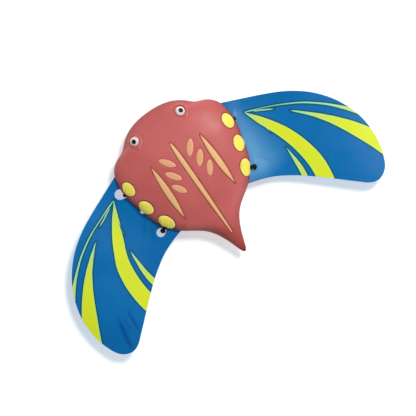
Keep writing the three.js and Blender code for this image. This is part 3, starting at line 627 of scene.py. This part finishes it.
def eye_material():
    n = Nodes("eye_white")
    rim = n.attr("rim")
    color = n.mix(n.ramp(rim, 0.66, 0.98), srgb(238, 226, 226), srgb(222, 168, 172))
    # painted shade: a grey ring round the pupil bead
    color = n.mix(n.ramp(rim, 0.56, 0.42), color, srgb(168, 150, 152))
    color = n.mix(n.ramp(n.noise(700, 2, 0.5), 0.45, 0.8, 0.0, 0.12), color, srgb(226, 204, 204))
    normal = n.bump(n.noise(500, 2, 0.5), 0.05, 0.0002)
    return n.finish(color, n.ramp(n.noise(300, 2, 0.5), 0.3, 0.7, 0.22, 0.32), normal, Coat_Weight=0.15, Coat_Roughness=0.1, IOR=1.49)


def pupil_material():
    n = Nodes("pupil_black")
    color = n.mix(n.ramp(n.noise(900, 2, 0.5), 0.4, 0.8), srgb(4, 4, 5), srgb(16, 14, 14))
    return n.finish(color, n.ramp(n.noise(600, 2, 0.5), 0.3, 0.7, 0.34, 0.46), None, Specular_IOR_Level=0.2)


def steel_material():
    n = Nodes("zinc_steel")
    brushed = n.noise(900, 4, 0.7, stretch=(1, 1, 0.1))
    color = n.mix(n.ramp(brushed, 0.3, 0.7), srgb(148, 150, 152), srgb(196, 198, 198))
    color = n.mix(n.ramp(n.noise(180, 3, 0.6), 0.62, 0.8, 0.0, 0.5), color, srgb(110, 96, 80))
    return n.finish(color, n.ramp(brushed, 0.3, 0.7, 0.28, 0.42), n.bump(brushed, 0.2, 0.0001), Metallic=1.0)


def washer_material():
    n = Nodes("white_nylon")
    color = n.mix(n.ramp(n.noise(300, 3, 0.6), 0.3, 0.7), srgb(226, 226, 220), srgb(240, 240, 236))
    return n.finish(color, n.ramp(n.noise(500, 2, 0.5), 0.3, 0.7, 0.4, 0.5), n.bump(n.noise(1500, 2, 0.5), 0.2, 0.0001))


def foam_material():
    n = Nodes("closed_cell_foam")
    cells = n.voronoi(1100)
    color = n.mix(n.ramp(cells, 0.1, 0.6), srgb(205, 198, 180), srgb(238, 233, 220))
    return n.finish(color, n.ramp(cells, 0.1, 0.6, 0.8, 0.95), n.bump(cells, 0.5, 0.0005))


M_UPPER = hull_material("hull_upper_satin", True)
M_LOWER = hull_material("hull_lower_satin", False)
M_BLACK, M_EYE, M_PUPIL = black_material(), eye_material(), pupil_material()
M_STEEL, M_WASHER, M_FOAM, M_EDGE = steel_material(), washer_material(), foam_material(), edge_material()


# ---------------------------------------------------------------------------------------------
# Upper shell: fine skin with its moulded relief
# ---------------------------------------------------------------------------------------------
CENTRE = np.array([0.0, 34.0])


def eye_axis(s):
    """Rotation of an eye's own frame into the row's."""
    return Matrix.Rotation(math.radians(s * EYE_TILT_Y), 4, "Y") @ Matrix.Rotation(math.radians(-EYE_TILT_X), 4, "X")


def relief(u, v, want_sd=False):
    """Height of the moulded detail above the plain skin, and the distances to its shapes."""
    pts = np.stack([u, v], 1)
    rib = np.full(len(u), 6.0)
    mid = spline([(-a, b) for a, b in MIDDLE_RIB] + [(0, 108.2)] + [(a, b) for a, b in MIDDLE_RIB[::-1]] + [(0, -1.6)], 1.0, True)
    rib = np.minimum(rib, signed_distance(pts, mid))
    for s in (1, -1):
        side = spline([(s * a, b) for a, b in SIDE_RIB], 1.0, True)
        rib = np.minimum(rib, signed_distance(pts, side))
    lf = np.full(len(u), 6.0)
    for a, b, w in LEAVES:
        lf = np.minimum(lf, signed_distance(pts, leaf(a, b, w)))
    ov = np.full(len(u), 6.0)
    for c, rx, ry, lean in OVALS:
        ov = np.minimum(ov, signed_distance(pts, ellipse(c, rx, ry, lean)))
    dome = lambda sd, w: np.sqrt(np.maximum(0, 1 - (1 - np.clip(-sd / w, 0, 1)) ** 2))
    h = 0.85 * dome(rib, 2.3) - 0.34 * np.exp(-((rib - 0.45) / 0.5) ** 2)
    h += 0.55 * dome(lf, 2.2) - 0.26 * np.exp(-((lf - 0.4) / 0.45) ** 2)
    h += 0.95 * dome(ov, 4.4) - 0.85 * np.exp(-((ov - 0.75) / 0.6) ** 2)
    for c, rx, ry, lean in OVALS:
        d = np.hypot((u - c[0]) / rx, (v - c[1]) / ry)
        out = (np.abs(u) - abs(c[0])) / rx
        h += 0.75 * out * smooth(1.12, 0.8, d)
    for s in (1, -1):
        # raised lid that runs to a point behind the eye, and the seat that the eye sits in
        c = np.array([s * 27.9, -22.8])
        tip = np.array([s * 28.6, -12.4])
        w = np.linspace(0, 2 * math.pi, 60, endpoint=False)
        ring = c + 7.4 * np.stack([np.cos(w), np.sin(w)], 1)
        d = ring - c
        back = np.maximum(0, d[:, 1] / 7.4) ** 4
        ring = ring * (1 - back[:, None]) + tip * back[:, None]
        lid = signed_distance(pts, ring)
        h += 1.1 * smooth(0.6, -2.8, lid)
        h -= 0.25 * np.exp(-((lid - 0.7) / 0.8) ** 2)
        du = (u - s * EYES[s][0]) / math.cos(math.radians(EYE_TILT_Y))
        dv = (v - EYES[s][1]) / math.cos(math.radians(EYE_TILT_X))
        rho = np.hypot(du, dv)
        h -= 2.6 * smooth(EYE_R + 0.85, EYE_R + 0.1, rho)
    return h, rib, lf, ov


def loops(count, extra):
    """Points round the whole outline, closer together near the given half-breadths and stations."""
    full = np.vstack([FINE, [(-a, b) for a, b in FINE[-2:0:-1]]])
    seg = np.linalg.norm(np.diff(np.vstack([full, full[:1]]), axis=0), axis=1)
    weight = seg.copy()
    for c, reach, gain in extra:
        for s in (1, -1):
            d = np.hypot(full[:, 0] - s * c[0], full[:, 1] - c[1])
            weight += seg * gain * np.exp(-(d / reach) ** 2)
    acc = np.concatenate([[0], np.cumsum(weight)])
    want = np.linspace(0, acc[-1], count, endpoint=False)
    closed = np.vstack([full, full[:1]])
    return np.stack([np.interp(want, acc, closed[:, 0]), np.interp(want, acc, closed[:, 1])], 1)


def in_slot(p):
    """How far a rim point is within the stretch that the wing passes through, 0 to 1."""
    v = p[:, 1]
    return smooth(-11.2, -10.0, v) * smooth(80.6, 79.2, v) * (np.abs(p[:, 0]) > 30)


def near_peg(p, peg, screw, half):
    """1 where the rim is cut for a hook's arm."""
    out = np.zeros(len(p))
    for s in (1, -1):
        d = np.array([s * (peg[0] - screw[0]), peg[1] - screw[1]])
        d /= np.linalg.norm(d)
        rel = p - np.array([s * screw[0], screw[1]])
        off = np.abs(rel[:, 0] * d[1] - rel[:, 1] * d[0])
        ahead = rel @ d > 5
        out = np.maximum(out, smooth(half + 0.25, half - 0.25, off) * ahead)
    return out


def shell(name, rings, count, inner_rings, up, mats):
    """A closed shell: fine outer skin, rim, and a plain inner skin."""
    P = loops(count, [(FRONT_PEG, 5, 4.0), (REAR_PEG, 6, 4.0)])
    dirs = P - CENTRE
    dist = np.linalg.norm(dirs, axis=1)
    slot = in_slot(P)
    if up:
        rim = Z_PART + SEAM / 2 + (SLOT_CEILING - Z_PART - SEAM / 2) * slot
        for peg, screw, half in ((FRONT_PEG, FRONT_SCREW, 2.3), (REAR_PEG, REAR_SCREW, 2.5)):
            rim = np.maximum(rim, rim + (ARM_TOP - 1.0 - rim) * near_peg(P, peg, screw, half))
        f = skin_up
    else:
        rim = Z_PART - SEAM / 2 - (Z_PART - SEAM / 2 - SLOT_FLOOR) * slot
        rim = rim - (rim - 9.2) * near_peg(P, FRONT_PEG, FRONT_SCREW, 3.0)
        f = skin_down
    # where each ray meets the rim's height
    lo, hi = np.zeros(count), np.ones(count)
    for _ in range(30):
        mid = (lo + hi) / 2
        q = CENTRE + dirs * mid[:, None]
        z = f(q[:, 0], q[:, 1])
        inside = (z > rim) if up else (z < rim)
        lo, hi = np.where(inside, mid, lo), np.where(inside, hi, mid)
    kmax = lo
    k = np.sin(np.linspace(0, 1, rings + 1)[1:] * math.pi / 2)
    k = 0.35 * np.linspace(0, 1, rings + 1)[1:] + 0.65 * k
    U = CENTRE[0] + dirs[None, :, 0] * (k[:, None] * kmax[None])
    V = CENTRE[1] + dirs[None, :, 1] * (k[:, None] * kmax[None])
    u, v = np.append(U.ravel(), CENTRE[0]), np.append(V.ravel(), CENTRE[1])
    z = f(u, v)
    h, rib, lf, ov = (relief(u, v) if up else (np.zeros(len(u)),) * 4)
    if up:
        e = 0.05
        gx = (f(u + e, v) - f(u - e, v)) / (2 * e)
        gy = (f(u, v + e) - f(u, v - e)) / (2 * e)
        steep = np.sqrt(1 + gx ** 2 + gy ** 2)
        lim = smooth(0.0, 1.6, z - np.append(np.tile(rim, rings), 0))  # no relief on the rim itself
        h = h * lim
        pu, pv, pz = u - gx / steep * h * 0.8, v - gy / steep * h * 0.8, z + h / steep
    else:
        pu, pv, pz = u, v, z
    last = (rings - 1) * count
    pz[last:last + count] = rim
    outer = to_row(pu, pv, pz)
    centre_i = rings * count
    # inner skin
    thick = WALL + 0.1
    kin = kmax - thick / dist
    verts = [outer]
    rows = []
    start = len(outer)
    sign = 1 if up else -1
    ki = np.linspace(1, 0.0, inner_rings, endpoint=False)
    for j, kk in enumerate(ki):
        q = CENTRE + dirs * (kin * kk)[:, None]
        if j == 0:
            zz = rim
        else:
            zz = f(q[:, 0], q[:, 1]) - sign * (thick + 0.3)
            zz = np.maximum(zz, rim + 0.4) if up else np.minimum(zz, rim - 0.4)
        verts.append(to_row(q[:, 0], q[:, 1], zz))
        rows.append(np.arange(start, start + count))
        start += count
    zc = f(np.array([CENTRE[0]]), np.array([CENTRE[1]])) - sign * (thick + 0.3)
    verts.append(to_row(np.array([CENTRE[0]]), np.array([CENTRE[1]]), zc))
    inner_c = start
    verts = np.vstack(verts)
    faces = []
    i = np.arange(count)
    j = (i + 1) % count
    faces += list(np.stack([np.full(count, centre_i), j, i], 1))
    for r in range(1, rings):
        a, b = (r - 1) * count, r * count
        faces += list(np.stack([a + i, a + j, b + j, b + i], 1))
    seq = [np.arange(last, last + count)] + rows
    for a, b in zip(seq, seq[1:]):
        faces += list(np.stack([a[i], a[j], b[j], b[i]], 1))
    faces += list(np.stack([rows[-1][i], rows[-1][j], np.full(count, inner_c)], 1))
    o = mesh_object(name, verts, faces, mats)
    pad = len(verts) - len(u)
    if up:
        put_attribute(o, "sd_rib", np.append(rib, np.full(pad, 6.0)))
        put_attribute(o, "sd_leaf", np.append(lf, np.full(pad, 6.0)))
        put_attribute(o, "sd_oval", np.append(ov, np.full(pad, 6.0)))
        rim_all = np.append(np.tile(rim, rings), 0.0)
        put_attribute(o, "edge", np.append(z - rim_all, np.zeros(pad)))
        # painted shade: strongest on the left of the tail, away from the key light, and light at the nose
        ends = smooth(58, 80, v) * (1 - 0.62 * smooth(-10, 9, u)) * (1 - 0.45 * smooth(100, 116, v))
        ends = np.maximum(ends, 0.22 * smooth(-14, -28, v))
        put_attribute(o, "ends", np.append(ends, np.zeros(pad)))
    face_out(o)
    return o


upper = shell("hull_upper", 150, 580, 9, True, [M_UPPER])
soft_edges(upper, 50)
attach(upper, "hull")
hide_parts("upper_shell")

lower = shell("hull_lower", 56, 420, 8, False, [M_LOWER])


def ring_cutter(name, r, z0, z1, places, n=40):
    verts, faces = [], []
    for x, yv in places:
        b = len(verts)
        for z in (z0, z1):
            for i in range(n):
                w = 2 * math.pi * i / n
                verts.append(((x + r * math.cos(w)) * MM, (Y_REF - yv + r * math.sin(w)) * MM, z * MM))
        faces.append(tuple(range(b, b + n))[::-1])
        faces.append(tuple(range(b + n, b + 2 * n)))
        faces += [(b + i, b + (i + 1) % n, b + n + (i + 1) % n, b + n + i) for i in range(n)]
    return face_out(mesh_object(name, verts, faces))


SCREWS = [
    ("front_right", FRONT_SCREW, 1, 5.4, 24.4), ("front_left", FRONT_SCREW, -1, 5.4, 24.4),
    ("rear_right", REAR_SCREW, 1, 5.6, 23.6), ("rear_left", REAR_SCREW, -1, 5.6, 23.6),
    ("nose", NOSE_SCREW, 1, 4.2, 25.0), ("tail", TAIL_SCREW, 1, 7.2, 20.4),
]
for name, p, s, head, tip in SCREWS:
    # a well with a floor under each screw head: the tube is joined on, then bored
    tube = revolve("tube", [(0, 1.6), (4.4, 1.6), (4.4, 13.4), (0, 13.4)], 40, (s * p[0], Y_REF - p[1]))
    low = float(skin_down(np.array([p[0]]), np.array([p[1]]))[0])
    for vert in tube.data.vertices:
        if vert.co.z < 0.002:
            vert.co.z = (low + 1.2) * MM
    cut(lower, tube, "UNION")
    cut(lower, revolve("well", [(0, -3), (3.3, -3), (3.3, head + 2.3), (0, head + 2.3)], 40, (s * p[0], Y_REF - p[1])))
    cut(lower, revolve("hole", [(0, head), (1.85, head), (1.85, 15), (0, 15)], 28, (s * p[0], Y_REF - p[1])))
for s in (1, -1):  # spigot that each sheet turns about
    cut(lower, revolve("spigot", [(0, 7.4), (2.6, 7.4), (2.6, 11.8), (1.6, 11.8), (1.6, 14.2), (1.3, 14.5), (0, 14.5)], 36, (s * PIVOT[0], Y_REF - PIVOT[1])), "UNION")
cut(lower, ring_cutter("drains", 1.5, -3, 9, [(27, -6), (-27, -6), (27, 68), (-27, 68)], 28))
soft_edges(lower, 40)
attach(lower, "hull")
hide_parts("lower_shell")


# ---------------------------------------------------------------------------------------------
# Eyes
# ---------------------------------------------------------------------------------------------
for s, side in ((1, "right"), (-1, "left")):
    EYE = EYES[s]
    eye_z = Z_PART + HULL_TOP * float(crown(EYE[1])) * float(swell(EYE[0] / float(breadth(EYE[1])))) - 0.4
    place = Matrix.Translation(Vector((s * EYE[0] * MM, (Y_REF - EYE[1]) * MM, eye_z * MM))) @ eye_axis(s)
    prof = [(0, -7.4), (2.0, -7.4), (2.2, -7.1), (2.2, -2.3), (EYE_R - 0.25, -2.3), (EYE_R, -2.05), (EYE_R, -0.6)]
    prof += [(EYE_R * math.cos(w), -0.6 + 3.1 * math.sin(w)) for w in np.linspace(0.08, 1.08, 16)]
    prof += [(2.32, 2.18), (2.22, 2.02), (2.2, 0.6), (0, 0.6)]
    ball = revolve("eye_ball_" + side, prof, 72, mats=[M_EYE])
    rim = [min(1.0, math.hypot(q.co.x, q.co.y) / MM / EYE_R) for q in ball.data.vertices]
    put_attribute(ball, "rim", rim)
    ball.data.transform(place)
    soft_edges(ball, 40)
    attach(ball, "hull")
    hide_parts("eye_" + side)
    bead = revolve("pupil_bead_" + side, [(0, 0.7), (1.9, 0.7), (2.12, 0.9), (2.12, 1.9)] + [(2.12 * math.cos(w), 1.9 + 0.75 * math.sin(w)) for w in np.linspace(0.15, 1.4, 9)] + [(0, 2.65)], 48, mats=[M_PUPIL])
    bead.data.transform(place)
    soft_edges(bead, 50)
    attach(bead, "hull")
    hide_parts("pupil_" + side)


# ---------------------------------------------------------------------------------------------
# Hooks, screws
# ---------------------------------------------------------------------------------------------
def row_xy(s, p):
    return (s * p[0], Y_REF - p[1])


for s, side in ((1, "right"), (-1, "left")):
    for part, a, b, half, end_r, peg_r in (("front_hook_", FRONT_SCREW, FRONT_PEG, 1.9, 2.2, 1.8), ("rear_hook_", REAR_SCREW, REAR_PEG, 1.9, 2.7, 2.0)):
        A, B = row_xy(s, a), row_xy(s, b)
        arm = prism(part + side + "_moulded", [tuple(q) for q in capsule(A, B, half, 20)], ARM_BOTTOM, ARM_TOP - 0.25, [M_BLACK])
        stem = 1.2 if part.startswith("front") else 1.3
        eye = revolve("e", [(0, ARM_BOTTOM - 0.0), (4.4, ARM_BOTTOM), (4.4, ARM_TOP), (0, ARM_TOP)], 48, A)
        cut(arm, eye, "UNION")
        knob = revolve("k", [(0, 10.2), (stem - 0.5, 10.2), (stem + 0.25, 11.0), (stem + 0.3, 11.25), (stem, 11.8), (stem, ARM_BOTTOM - 0.2), (end_r, ARM_BOTTOM - 0.2), (end_r, ARM_TOP - 0.1), (0, ARM_TOP - 0.1)], 44, B)
        cut(arm, knob, "UNION")
        cut(arm, revolve("h", [(0, 12), (1.85, 12), (1.85, 19), (0, 19)], 28, A))
        span = math.hypot(B[0] - A[0], B[1] - A[1])
        d = ((B[0] - A[0]) / span, (B[1] - A[1]) / span)
        for vert in arm.data.vertices:
            t = ((vert.co.x / MM - A[0]) * d[0] + (vert.co.y / MM - A[1]) * d[1]) / span
            if vert.co.z > (ARM_TOP - 0.6) * MM:
                vert.co.z -= 1.35 * float(smooth(0.45, 0.95, t)) * MM
        bevelled(arm, 0.4, 4, 40)
        soft_edges(arm, 30)
        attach(arm, "hull")
        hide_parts(part + side)

for name, p, s, head, tip in SCREWS:
    c = row_xy(s, p)
    prof = [(0, head), (2.1, head), (2.6, head + 0.25), (2.9, head + 0.8), (2.9, head + 1.85), (2.7, head + 2.0), (1.5, head + 2.0)]
    z, t = head + 2.4, 0
    while z < tip - 1.6:  # rolled thread
        prof += [(1.12, z), (1.5, z + 0.3), (1.5, z + 0.42), (1.12, z + 0.72)]
        z += 1.1
    prof += [(1.1, tip - 1.2), (0.25, tip - 0.1), (0, tip)]
    screw = revolve("screw_" + name, prof, 32, c, [M_STEEL])
    for w in (0, math.pi / 2):
        box = [(c[0] + x * math.cos(w) - yy * math.sin(w), c[1] + x * math.sin(w) + yy * math.cos(w)) for x, yy in ((-1.7, -0.42), (1.7, -0.42), (1.7, 0.42), (-1.7, 0.42))]
        cut(screw, prism("x", box, head - 1, head + 1.0))
    soft_edges(screw, 32)
    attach(screw, "hull")
    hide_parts("case_screw_" + name)

for node, mat in (("nose_ballast", M_STEEL), ("float_block", M_FOAM), ("pivot_washer_left", M_WASHER), ("pivot_washer_right", M_WASHER)):
    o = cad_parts[node]
    o.data.materials.clear()
    o.data.materials.append(mat)


# ---------------------------------------------------------------------------------------------
# Wings: one continuous printed sheet each
# ---------------------------------------------------------------------------------------------
E = np.array(FLEX_B) - np.array(FLEX_A)
E = E / np.linalg.norm(E)
N = np.array([E[1], -E[0]])


def across(p):
    return (p - np.array(FLEX_A)) @ N


def sheet_z(p):
    """Height of the middle of the sheet: flat root, arched blade."""
    s = across(p)
    t = np.maximum(s, 0)
    sag = 1.1 * smooth(-17, 1, s) * smooth(44, 6, s)  # eases down off the hooks before it lifts
    return Z_PART + 0.001825 * t ** 2 - 1.6525e-5 * t ** 3 - sag


CREASES = {
    +1: [((64, 58), (74, 72), 1.6, 0.25)],
    -1: [((142.7, 109), (150.0, 147), 2.5, 1.0), ((131.2, 109), (133.2, 135), 1.9, 0.9), ((137.5, 114), (140, 130), 1.2, 0.55), ((62, 44), (76, 60), 1.8, 0.35), ((60, 52), (70, 70), 1.6, 0.3)],
}


def creases(side, p):
    """Depth of the handling creases pressed into a sheet, 0 to 1."""
    out = np.zeros(len(p))
    for a, b, half, deep in CREASES[side]:
        a, b = np.array(a, float), np.array(b, float)
        d = b - a
        length = np.linalg.norm(d)
        d /= length
        along = (p - a) @ d
        off = np.abs((p - a)[:, 0] * d[1] - (p - a)[:, 1] * d[0])
        ends = smooth(-2, length * 0.35, along) * smooth(length + 2, length * 0.8, along)
        out = np.maximum(out, deep * ends * np.exp(-(off / half) ** 2))
    return out


def hook_dimples(side, p):
    """Where the sheet is drawn up towards a hook."""
    out = np.zeros(len(p))
    for a, b, r, _ in HOLES[side][:2]:
        c = np.array(a, float)
        out += 0.28 * np.exp(-((np.linalg.norm(p - c, axis=1) - r) / 5.0) ** 2)
    return out


def wing(s, side):
    lead = spline(WING_LEADING, 1.1)
    trail = spline(WING_TRAILING, 1.1)
    inner = spline(ROOT_INNER, 1.4)
    outline = np.vstack([lead[:-1], trail[:-1], inner[:-1]])
    holes = [keyhole(*h) for h in HOLES[s]] + [capsule((PIVOT[0] - 0.01, PIVOT[1]), (PIVOT[0] + 0.01, PIVOT[1]), 1.9, 18)]
    stripes = []
    for one, two in STRIPES[s]:
        a, b = spline(one, 0.6), spline(two, 0.6)
        stripes.append((np.vstack([a, b[::-1]]), a, b))
    # candidate points
    lo, hi = outline.min(0), outline.max(0)

    def grid(step):
        gx = np.arange(lo[0], hi[0], step)
        gy = np.arange(lo[1], hi[1], step * 0.866)
        X, Y = np.meshgrid(gx, gy)
        X = X + (np.arange(len(gy)) % 2)[:, None] * step / 2
        return np.stack([X.ravel(), Y.ravel()], 1)

    def stripe_sd(pts, reach=6.0):
        sd = np.full(len(pts), reach)
        for poly, _, _ in stripes:
            sd = np.minimum(sd, signed_distance(pts, poly, reach))
        return sd

    coarse, fine, finest = grid(1.7), grid(0.62), grid(0.4)
    keep_c = coarse[np.abs(stripe_sd(coarse)) > 2.6]
    fine = fine[(np.abs(stripe_sd(fine, 3.0)) < 2.8) | (creases(s, fine) > 0.12)]
    slim, spine = [], []
    for poly, a, b in stripes:  # middle line and half-width of each stripe; the slender ends get a closer grid still
        d = np.linalg.norm(a[:, None] - b[None], axis=2)
        near = d.argmin(1)
        mid, half = (a + b[near]) / 2, d.min(1) / 2
        spine.append((mid, half))
        slim.append(mid[half < 0.9])
    slim = np.vstack(slim)

    def close_to_slim(q):
        best = np.full(len(q), 9.0)
        for k in range(0, len(slim), 40):
            part = slim[k:k + 40]
            box = np.all((q > part.min(0) - 2) & (q < part.max(0) + 2), axis=1)
            if box.any():
                best[box] = np.minimum(best[box], np.linalg.norm(q[box][:, None] - part[None], axis=2).min(1))
        return best < 1.5
    finest = finest[close_to_slim(finest)]
    fine = fine[~close_to_slim(fine)]
    pts = np.vstack([keep_c, fine, finest])
    d = signed_distance(pts, outline)
    ok = d < -0.5
    for h in holes:
        ok &= signed_distance(pts, h) > 0.5
    pts = pts[ok]
    verts = [outline]
    edges = []
    n = len(outline)
    edges += [(i, (i + 1) % n) for i in range(n)]
    for h in holes:
        b = sum(len(q) for q in verts)
        verts.append(h)
        edges += [(b + i, b + (i + 1) % len(h)) for i in range(len(h))]
    verts.append(pts)
    flat = np.vstack(verts)
    out = delaunay_2d_cdt([Vector(p) for p in flat], edges, [], 0, 1e-5)
    vv = np.array([tuple(p) for p in out[0]])
    tris = np.array([f for f in out[2] if len(f) == 3])
    c = vv[tris].mean(1)
    keep = signed_distance(c, outline) < 0
    for h in holes:
        keep &= signed_distance(c, h) > 0
    tris = tris[keep]
    used = np.unique(tris)
    remap = -np.ones(len(vv), int)
    remap[used] = np.arange(len(used))
    vv, tris = vv[used], remap[tris]
    # all faces the same way round
    a, b, c3 = vv[tris[:, 0]], vv[tris[:, 1]], vv[tris[:, 2]]
    area = (b[:, 0] - a[:, 0]) * (c3[:, 1] - a[:, 1]) - (b[:, 1] - a[:, 1]) * (c3[:, 0] - a[:, 0])
    tris[area < 0] = tris[area < 0][:, ::-1]
    # border edges
    e = np.vstack([tris[:, [0, 1]], tris[:, [1, 2]], tris[:, [2, 0]]])
    key = np.sort(e, 1)
    _, inverse, counts = np.unique(key, axis=0, return_inverse=True, return_counts=True)
    border = e[counts[inverse.ravel()] == 1]
    m = len(vv)
    crease = creases(s, vv)
    free = smooth(-19, -10, across(vv))
    z = sheet_z(vv) + hook_dimples(s, vv) * free * 0.8 - 0.3 * crease
    x = s * vv[:, 0]
    top = to_row(x, vv[:, 1], z + SHEET / 2)
    bottom = to_row(x, vv[:, 1], z - SHEET / 2)
    allv = np.vstack([top, bottom])
    faces = [tuple(t) for t in tris] + [tuple(t[::-1] + m) for t in tris] + [(p, q, q + m, p + m) for p, q in border]
    o = mesh_object("wing_sheet_" + side, allv, faces, [sheet_material("print_" + side, True, s), sheet_material("plain_" + side, False, s), M_EDGE])
    idx = np.zeros(len(faces), np.int32)
    idx[len(tris):2 * len(tris)] = 1
    idx[2 * len(tris):] = 2
    if len(o.data.polygons) == len(faces):
        o.data.polygons.foreach_set("material_index", idx)
    sd = stripe_sd(vv)
    # local half-width of the nearest stripe
    wide = np.full(len(vv), 0.0)
    best = np.full(len(vv), 1e9)
    for mid, half in spine:
        for q in range(0, len(vv), 4000):
            dd = np.linalg.norm(vv[q:q + 4000, None] - mid[None], axis=2)
            near = dd.argmin(1)
            val = dd.min(1) - half[near]
            better = val < best[q:q + 4000]
            best[q:q + 4000] = np.where(better, val, best[q:q + 4000])
            wide[q:q + 4000] = np.where(better, half[near], wide[q:q + 4000])
    put_attribute(o, "sd_stripe", np.append(sd, np.full(m, 6.0)))
    put_attribute(o, "width", np.append(wide, wide))
    # painted sheen on the right wing: a lighter patch by the hull, and two painted glints by the hooks
    root_sheen = np.zeros(len(vv))
    if s > 0:
        u, v = vv[:, 0], vv[:, 1]
        root_sheen = 0.6 * np.exp(-(np.maximum(u - 60 - 0.06 * (v - 60), 0) / 22) ** 2) * smooth(-16, 40, v) * smooth(86, 66, v)
        root_sheen = np.maximum(root_sheen, 0.85 * np.exp(-((u - 60.2 + 0.35 * (v - 62)) / 2.4) ** 2 - ((v - 62) / 5.0) ** 2))
        root_sheen = np.maximum(root_sheen, 0.7 * np.exp(-((u - 70.2 + 0.5 * (v - 12)) / 1.6) ** 2 - ((v - 12) / 5.0) ** 2))
    put_attribute(o, "root_sheen", np.append(root_sheen, np.zeros(m)))
    # the crease depth also sets the painted shade that darkens the creases
    put_attribute(o, "crease", np.append(crease, np.zeros(m)))
    print("sheet", side, len(vv), "points,", len(faces), "faces")
    face_out(o)
    # crisp corner between faces and cut edge, with a fine rounding
    mod = o.modifiers.new("edge", "BEVEL")
    mod.width, mod.segments, mod.limit_method, mod.angle_limit = 0.16 * MM, 2, "ANGLE", math.radians(60)
    mod.harden_normals = True
    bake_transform(o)
    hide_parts("wing_root_" + side, "wing_blade_" + side)
    return o


for s, side in ((1, "right"), (-1, "left")):
    wing(s, side)


# ---------------------------------------------------------------------------------------------
# Floor, light, camera
# ---------------------------------------------------------------------------------------------
scene = bpy.context.scene
n = Nodes("pale_floor")
n.finish(n.mix(n.ramp(n.noise(3, 3, 0.5), 0.3, 0.7), (0.86, 0.86, 0.865, 1), (0.88, 0.88, 0.885, 1)), n.ramp(n.noise(8, 2, 0.5), 0.3, 0.7, 0.6, 0.7), n.bump(n.noise(300, 3, 0.5), 0.05, 0.0005),
         Emission_Color=(0.84, 0.95, 1.0, 1), Emission_Strength=0.44)
floor = mesh_object("floor", [(-3, -3, 0), (3, -3, 0), (3, 3, 0), (-3, 3, 0)], [(0, 1, 2, 3)], [n.mat])

world = bpy.data.worlds.new("studio")
scene.world = world
world.use_nodes = True
wt = world.node_tree
sky = wt.nodes["Background"]
direction = wt.nodes.new("ShaderNodeTexCoord").outputs["Generated"]
split = wt.nodes.new("ShaderNodeSeparateXYZ")
wt.links.new(direction, split.inputs[0])
fall = wt.nodes.new("ShaderNodeMapRange")  # bright walls all round, darker straight overhead
fall.interpolation_type = "SMOOTHSTEP"
for key, value in (("From Min", 0.55), ("From Max", 0.9), ("To Min", 0.62), ("To Max", 0.07)):
    fall.inputs[key].default_value = value
wt.links.new(split.outputs["Z"], fall.inputs["Value"])
wt.links.new(fall.outputs[0], sky.inputs[1])
sky.inputs[0].default_value = (0.96, 0.98, 1.0, 1)


def area(name, loc, target, size, power, color=(1, 1, 1)):
    d = bpy.data.lights.new(name, "AREA")
    d.shape, d.size, d.energy, d.color = "DISK", size, power, color
    o = bpy.data.objects.new(name, d)
    scene.collection.objects.link(o)
    o.location = loc
    o.rotation_mode = "QUATERNION"
    o.rotation_quaternion = (Vector(target) - Vector(loc)).to_track_quat("-Z", "Y")
    return o


area("key", (1.02, 0.42, 1.6), (0, 0, 0), 0.6, 26.5, (1.0, 0.99, 0.975))
area("fill", (0.4, -1.5, 0.9), (0, 0, 0), 1.2, 2.5, (0.96, 0.98, 1.0))

cam = bpy.data.cameras.new("camera")
cam.sensor_width, cam.lens = 36, 200
camera = bpy.data.objects.new("camera", cam)
scene.collection.objects.link(camera)
right, up_dir = Vector((0.81921, -0.57349, 0)), Vector((0.57349, 0.81921, 0))
camera.matrix_world = Matrix.Translation((-0.00587, -0.01950, 0.013 + 0.4168 * 200 / 36)) @ Matrix((
    (right.x, up_dir.x, 0, 0), (right.y, up_dir.y, 0, 0), (0, 0, 1, 0), (0, 0, 0, 1)))
cam.clip_end = 50
scene.camera = camera
scene.view_settings.view_transform = "Standard"
scene.view_settings.look = "None"

bpy.context.view_layer.update()
